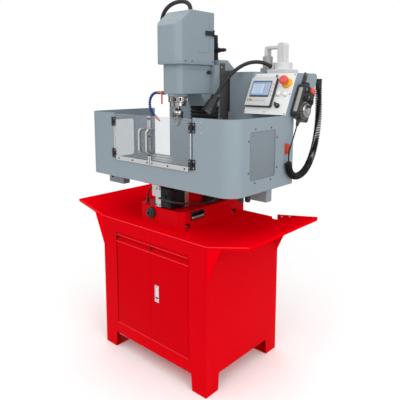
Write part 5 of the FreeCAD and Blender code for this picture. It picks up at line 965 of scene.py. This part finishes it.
glass_screen = surface("glass_screen", {"Emission Strength": 0.8}, screen_glow)
key_grey = rubber_key("key_grey", (0.42, 0.43, 0.44))
key_tints = [rubber_key("key_green", (0.08, 0.36, 0.14)), rubber_key("key_red", (0.55, 0.09, 0.08)),
             rubber_key("key_amber", (0.55, 0.42, 0.3))] + [key_grey] * 4
keys = [(tint, soft_key(UNIT_X0 + 9.5 + KEY_STEP * k, UNIT_V0 + 23)) for k, tint in enumerate(key_tints)]
keys += [(key_grey, soft_key(SCREEN_X1 + 6, SCREEN_V0 + 4 + SIDE_KEY_STEP * k)) for k in range(SIDE_KEYS)]
case_steps = [(0, 0), (0, 8), (0.6, 8.5), (0.6, 9.2), (0, 9.7), (0, 15.5), (0.8, 17), (2, 17.4)]
frame_steps = [(-3, UNIT_T - 1), (-3, UNIT_T + 0.3), (-2.4, UNIT_T + 0.9), (-0.6, UNIT_T + 0.9),
               (0, UNIT_T - 0.2)]
glass_steps = [(0, UNIT_T - 2), (0, UNIT_T + 0.1)]
piece("display_unit", "stand", "grey_plastic",
      (case_dark, block(UNIT_X0, UNIT_X1, UNIT_V0, UNIT_V1, 5, case_steps)),
      (face_grey, block(UNIT_X0 + FACE_IN, UNIT_X1 - FACE_IN, UNIT_V0 + FACE_IN, UNIT_V1 - FACE_IN, 4,
                        rolled(16.5, UNIT_T, 0.7))),
      (case_dark, block(SCREEN_X0, SCREEN_X1, SCREEN_V0, SCREEN_V1, 1.5, frame_steps)),
      (glass_screen, block(SCREEN_X0, SCREEN_X1, SCREEN_V0, SCREEN_V1, 1, glass_steps)),
      *keys, stands_for="hmi_unit")

# Operator's controls: an emergency stop on a thick yellow collar, two lit push buttons in bright rings,
# a pilot lamp and a key switch with its key. All are panel-mount units held by nuts behind the plate.
STOP, PILOT, SWITCH = (422, 150), (362, 185), (405, 43)
BUTTON_V, BUTTON_XS, BOW_H = 100.0, (396.0, 429.0), 21.5
collar_yellow = plastic("collar_yellow", (0.86, 0.42, 0.015), (0.78, 0.36, 0.01), 0.38)
stop_red = plastic("stop_red", (0.74, 0.1, 0.07), (0.64, 0.075, 0.055), 0.36)
button_white = plastic("button_white", (0.84, 0.84, 0.81), (0.78, 0.78, 0.74), 0.28)
pilot_green = plastic("pilot_green", (0.2, 0.24, 0.2), (0.15, 0.18, 0.15), 0.15, 0.5)
ring_pale = plastic("ring_pale", (0.74, 0.74, 0.72), (0.66, 0.66, 0.64), 0.3)


def turned(profile, x, v, sides=48):
    """A turned piece standing on the panel."""
    return panel(lathe(profile, sides) + (x, v, 0))


ring = [(13, 0), (13, 4.6), (12.2, 6), (10.9, 6), (10.3, 5.4), (10.3, 0.2)]
collar = knurled([(24, 0), (23.6, 2), (20.6, 13.8), (20, 15.2), (18.8, 16), (10, 16), (9.4, 15.4),
                  (9.4, 0.4)], 96, 0.35, 1, 3)
barrel = [(11, 0), (11, 7.8), (10, 9), (6, 9), (5.3, 8.4), (5.3, 2)]
piece("panel_controls", "stand", "yellow_plastic",
      (collar_yellow, panel(collar + (*STOP, 0))),
      *[(ring_pale, turned(ring, x, BUTTON_V)) for x in BUTTON_XS],
      (pilot_green, turned([(6, 0), (6, 3), (5.4, 6), (3.6, 7.4), (1, 7.9)], *PILOT)),
      (black_mould, turned(barrel, *SWITCH)), stands_for="panel_bezels")
mushroom = [(9, 7), (9, 27), (18.6, 27), (19.8, 28), (20, 29.5), (20, 37.5), (19.2, 41), (16.8, 44),
            (12.5, 45.6), (6, 46)]
piece("stop_mushroom", "stop_button", "red_plastic", (stop_red, turned(mushroom, *STOP)),
      stands_for="estop_cap")
button_cap = [(10, 3.5), (10, 8.6), (9.3, 9.8), (7.5, 10.3), (3, 10.6)]
for hand, x in zip(("left", "right"), BUTTON_XS):
    piece("button_cap_" + hand, "button_" + hand, "white_plastic",
          (button_white, turned(button_cap, x, BUTTON_V)), stands_for="push_button_" + hand)
key_blade = [(5, 1), (5, 11.4), (4.4, 12)]
bow = slab(8, 10.5, 7.5, [(0.6, -1.5), (0, -0.9), (0, 0.9), (0.6, 1.5)])[..., [2, 0, 1]]
piece("switch_key", "key", "black_plastic", (chrome, turned(key_blade, *SWITCH, 24)),
      (black_mould, panel(bow + (*SWITCH, BOW_H))), stands_for="mode_key")

# Cable arm: a white post on the console and a bent strap to the control cabinet, each on a flanged collar.
# Post and strap are painted white with generously rounded edges; the faces of the foot on the cabinet get a
# grey coat as painted shade.
ARM_ROLL, ARM_FOOT_SIDE, ARM_FOOT_TOP = 3.0, 240.0, 1428.5
arm_white = powder_coat("arm_white", (0.68, 0.68, 0.67), (0.62, 0.62, 0.61), 0.36, 0.3, 260.0, 0.1)
arm_foot_painted_shade = powder_coat("arm_foot_painted_shade", (0.4, 0.41, 0.42), (0.34, 0.35, 0.36), 0.4, 0.3, 260.0, 0.1)
arm_mesh = eased("support_arm", arm_white, ARM_ROLL).data
face_middles = np.empty(len(arm_mesh.polygons) * 3, np.float32)
arm_mesh.polygons.foreach_get("center", face_middles)
face_x, _, face_z = (face_middles.reshape(-1, 3) / MM).T
arm_mesh.materials.append(arm_foot_painted_shade)
shaded_foot = (face_x < ARM_FOOT_SIDE) & (face_z < ARM_FOOT_TOP)
arm_mesh.polygons.foreach_set("material_index", shaded_foot.astype(np.int32))

# Work lamp: a black gooseneck from a boss on the arm's foot, its lamp head with a ringed socket and a lens.
# The neck is wound steel in a rubber skin, so its turns show faintly through.
NECK_D, NECK_RIB, NECK_RIB_DEEP, NECK_LEAN, SOCKET_RINGS = 18.0, 4.2, 0.2, (0.75, -0.65, 0), (6, 12, 18, 24)
neck_points = np.array([(262, 287, 1376.5), (250.5, 261, 1390), (235, 236, 1397), (218.5, 212, 1397.5),
                        (201.5, 189, 1393), (186, 167, 1382.5), (173, 146, 1368), (161.5, 126, 1351),
                        (152, 107, 1331), (144.5, 89.5, 1310), (138, 72.5, 1288), (132, 57, 1265.5),
                        (128.5, 42, 1242)])
neck_path = followed(at(neck_points), 450)
lamp_black = powder_coat("lamp_black", (0.02, 0.02, 0.021), (0.012, 0.012, 0.013), 0.34, 0.45)
lens_white = plastic("lens_white", (0.82, 0.84, 0.86), (0.74, 0.76, 0.78), 0.12, 0.5)
piece("gooseneck", "stand", "black_plastic",
      (cable_rubber, tube(neck_path, ribbed(neck_path, NECK_D, NECK_RIB, NECK_RIB_DEEP), NECK_LEAN)),
      stands_for="lamp_neck", corner=70.0)
shade = [(9.5, -1), (18, 0), (21, 2.5)]
for foot in SOCKET_RINGS:
    shade += [(21, foot), (19.4, foot + 0.8), (19.4, foot + 2.6), (21, foot + 3.4)]
shade += [(21, 30.5), (24, 31), (25, 32.5), (25.6, 44), (26.4, 45), (27.8, 84), (28, 86), (27.4, 88),
          (25.4, 88), (24.8, 87), (22, 43)]
lens = [(24.2, 78), (24.2, 80), (20, 81), (12, 81.8), (4, 82.2)]
lamp_seat = seat(neck_points[-1], neck_points[-1] - neck_points[-2])
piece("lamp_shade", "stand", "black_metal", (lamp_black, lamp_seat(lathe(shade))),
      (lens_white, lamp_seat(lathe(lens))), stands_for="lamp_head")

# Hand-wheel pendant: a black moulded housing in a hook holder on the console's side, with a graduated dial,
# a small stop button and two selectors. A pale grip strip runs down its front edge.
PENDANT, PENDANT_T, PENDANT_ROLL, HOLDER_BACK = np.array([460.0, 196.0, 1183.0]), 38.0, 2.0, (5, 0, 0)
STRIP_OUT, STRIP_UP, CAP_PLACE, FINGER_PLACE = 46.0, 32.0, (-33, 84, 0), (0, 18.6, 0)
SMALL_STOP_PLACE, SELECTOR_X, SELECTOR_V = (0, 92, 0), 22.0, 48.0
TICKS, TICK_NEAR, TICK_FAR, LONG_TICK_FAR, TICK_W = 50, 32.0, 37.0, 40.0, 0.7
grip = seat(PENDANT, RIGHT, -OFF_PANEL)
holder = seat(PENDANT - HOLDER_BACK, RIGHT, -OFF_PANEL)
pendant_black = plastic("pendant_black", (0.022, 0.022, 0.024), (0.013, 0.013, 0.014), 0.4)
dial_alloy = metal("dial_alloy", (0.62, 0.62, 0.63), (0.48, 0.48, 0.49), 0.26, scale=160.0)
strip_grey = plastic("strip_grey", (0.36, 0.35, 0.33), (0.3, 0.29, 0.28), 0.45)
tick_white = plastic("tick_white", (0.8, 0.8, 0.78), (0.7, 0.7, 0.68), 0.4)
cap_blue = plastic("cap_blue", (0.03, 0.2, 0.36), (0.02, 0.15, 0.28), 0.35)
eased("pendant_body", pendant_black, PENDANT_ROLL)
piece("pendant_holder", "stand", "black_plastic",
      (black_mould, holder(slab(19, 60, 4, [(0, 0), (0, 3.9), (0.8, 4.7)], (0, 70)))),
      (black_mould, grip(slab(9, 10.85, 2, rolled(-0.3, 22.8, 1.2), (0, 119.15)))),
      (black_mould, holder(slab(13, 24, 3, [(0, 0), (0, 3.4), (0.6, 4)], (-4, 152)))),
      *[(zinc, holder(button_head(2.6, 1.6) + (x, 167, 4))) for x in (-10, 2)],
      stands_for="black_fittings")
blue_cap = lathe([(6, 37), (6, 40.5), (5, 42)], 32)
piece("pendant_cap", "stand", "blue_plastic", (cap_blue, grip(blue_cap + CAP_PLACE)))
strip_middle = PENDANT + OFF_PANEL * STRIP_OUT + UP_SLOPE * STRIP_UP + (PENDANT_T / 2, 0, 0)
strip = seat(strip_middle, OFF_PANEL, UP_SLOPE)(slab(56, 9, 4, rolled(-0.6, 1.2, 0.8)))
piece("pendant_strip", "stand", "grey_plastic", (strip_grey, strip))


def tick(turn, far):
    """A thin bar on the pendant's face beside the dial, out to far along one spoke."""
    bar = slab((far - TICK_NEAR) / 2, TICK_W / 2, 0.1, [(0, -0.2), (0, 0.25)], ((far + TICK_NEAR) / 2, 0))
    x, y, h = np.moveaxis(bar, -1, 0)
    return grip(np.stack([x * math.cos(turn) - y * math.sin(turn), x * math.sin(turn) + y * math.cos(turn),
                          h + PENDANT_T], -1))


ticks = [(tick_white, tick(k * 2 * np.pi / TICKS, TICK_FAR if k % 5 else LONG_TICK_FAR))
         for k in range(TICKS)]
piece("dial_graduations", "stand", "white_plastic", *ticks)
wheel = knurled([(5, 29.3), (5, 38.3), (29.2, 38.3), (30, 39.2), (30, 49), (29, 50.4), (26.5, 51), (24, 50.4),
                 (8, 50.2), (7, 51)], 100, 0.5, 3, 5)
finger = lathe([(4, 50), (4, 51.5), (5.6, 52), (6, 53), (6, 57), (5, 58.6), (2.5, 59)], 32)
piece("hand_wheel", "dial", "aluminium", (dial_alloy, grip(wheel)),
      (black_mould, grip(finger + FINGER_PLACE)), stands_for="pendant_dial")
small_stop = lathe([(6, 37.4), (6, 45), (12.2, 45), (13, 46), (13, 53), (12, 55.6), (9, 57)])
piece("pendant_button", "pendant_stop_button", "red_plastic", (stop_red, grip(small_stop + SMALL_STOP_PLACE)),
      stands_for="pendant_stop")
knob = knurled([(4, 29.3), (4, 38.3), (11, 38.3), (11, 44.5), (10.2, 46.4), (8, 47)], 36, 0.5, 2, 4)
pointer = slab(3, 11, 2.5, rolled(46, 54, 1.0))
mark = slab(0.7, 4, 0.4, [(0, 53.6), (0, 54.3)], (0, 6))
for side, use in ((-1, "axis"), (1, "step")):
    place = (side * SELECTOR_X, SELECTOR_V, 0)
    piece("selector_knob_" + use, "selector_" + use, "black_plastic", (black_mould, grip(knob + place)),
          (black_mould, grip(pointer + place)), (tick_white, grip(mark + place)),
          stands_for="pendant_selector_" + use)

# Pendant cord: one rubber cord, plain from the strain relief past a clip on the wall, then curled.
# The curl is set in the rubber; it hangs in a long loop and ends in a socket on the console's rear.
# The drawn line cuts the corners of its route, so the cord is a little shorter than the route.
CORD_D, CURL_R, CURL_PITCH, CURL_SIDES, CUT_CORNERS = 5.6, 13.2, 7.9, 14, 0.985
RELIEF_DOWN, LEAD_DOWN, CLIP_PLACE, SOCKET_PLACE = 72.0, 22.0, (WALL_X, 118, 1022.5), (445, 388, 1297)
BOOT_R, BOOT_RIB_R, BOOT_FEET = 13.2, 15.4, range(-24, 24, 8)
cord_black = rubber("cord_black", (0.012, 0.012, 0.013), (0.006, 0.006, 0.007), 0.4, 0.16)
clip_red = plastic("clip_red", (0.6, 0.07, 0.02), (0.5, 0.05, 0.015), 0.4)
relief_end = PENDANT - UP_SLOPE * RELIEF_DOWN + (PENDANT_T / 2, 0, 0)
lead_route = [relief_end, relief_end - UP_SLOPE * LEAD_DOWN, (478, 141, 1071), (476.5, 129, 1047),
              (475, 119, 1023), (474, 112, 1001)]
curl_route = [(474, 112, 984), (474, 112, 957), (473, 120, 932), (472, 140, 910), (470, 172, 896),
              (468, 210, 893), (466, 251, 901), (464, 290, 921), (461, 325, 952), (459, 354, 992),
              (457, 377, 1040), (455, 393, 1094), (453, 402, 1152), (450, 405, 1206), (448, 403, 1258),
              (448, 403, 1297)]


def curled(route):
    """Helix on a route: radius swells smoothly from nothing at both ends, one turn for each pitch."""
    line = followed(route, 1400)
    length = walked(line)[-1]
    straight, swell = 2 * CORD_D * MM, 1.5 * CURL_PITCH * MM
    turns = round((length - 2 * straight) / (CURL_PITCH * MM))
    u = np.linspace(0, 1, turns * CURL_SIDES + 1)
    s = straight + (length - 2 * straight) * u
    centre = np.stack([np.interp(s, walked(line), line[:, k]) for k in range(3)], -1)
    run = np.gradient(centre, axis=0)
    run /= np.linalg.norm(run, axis=1, keepdims=True)
    side = np.cross(RIGHT, run)
    side /= np.linalg.norm(side, axis=1, keepdims=True)
    rise = np.clip(np.minimum(s - straight, length - straight - s) / swell, 0, 1)
    r = (CURL_R * MM * rise * rise * (3 - 2 * rise))[:, None]
    angle = (2 * np.pi * turns * u)[:, None]
    curl = centre + r * (np.cos(angle) * side + np.sin(angle) * np.cross(run, side))
    return np.concatenate([line[:1], curl, line[-1:]])


cord_route = np.concatenate([at(lead_route), curled(at(curl_route))])
curly_cord = laid("curly_cord", cord_route, CORD_D * MM, cord_black)
curly_cord.data.resolution_u = 3
curly_cord.data.bevel_resolution = 2
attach(curly_cord, "stand")
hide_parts("pendant_lead", "pendant_coil")
boot = [(3.2, -26)] + [(r, z + dz) for z in BOOT_FEET
                       for r, dz in ((BOOT_R, 0), (BOOT_RIB_R, 2), (BOOT_RIB_R, 5), (BOOT_R, 7))]
socket_block = slab(9, 26, 3, [(1, 0), (0, 1), (0, 9.5), (1.5, 11)])
clip_steps = [(0, 0), (0, 4), (2.5, 5.5), (2.5, 9.5), (0, 11), (0, 14.6), (1.2, 15.9)]
piece("cord_socket", "stand", "black_plastic",
      (black_mould, seat(SOCKET_PLACE)(socket_block)), (black_mould, seat(curl_route[-1])(lathe(boot, 32))),
      stands_for="black_fittings")
piece("lead_clip", "stand", "red_plastic",
      (clip_red, seat(CLIP_PLACE, RIGHT, BACK)(slab(9, 22.5, 4, clip_steps))), stands_for="black_fittings")
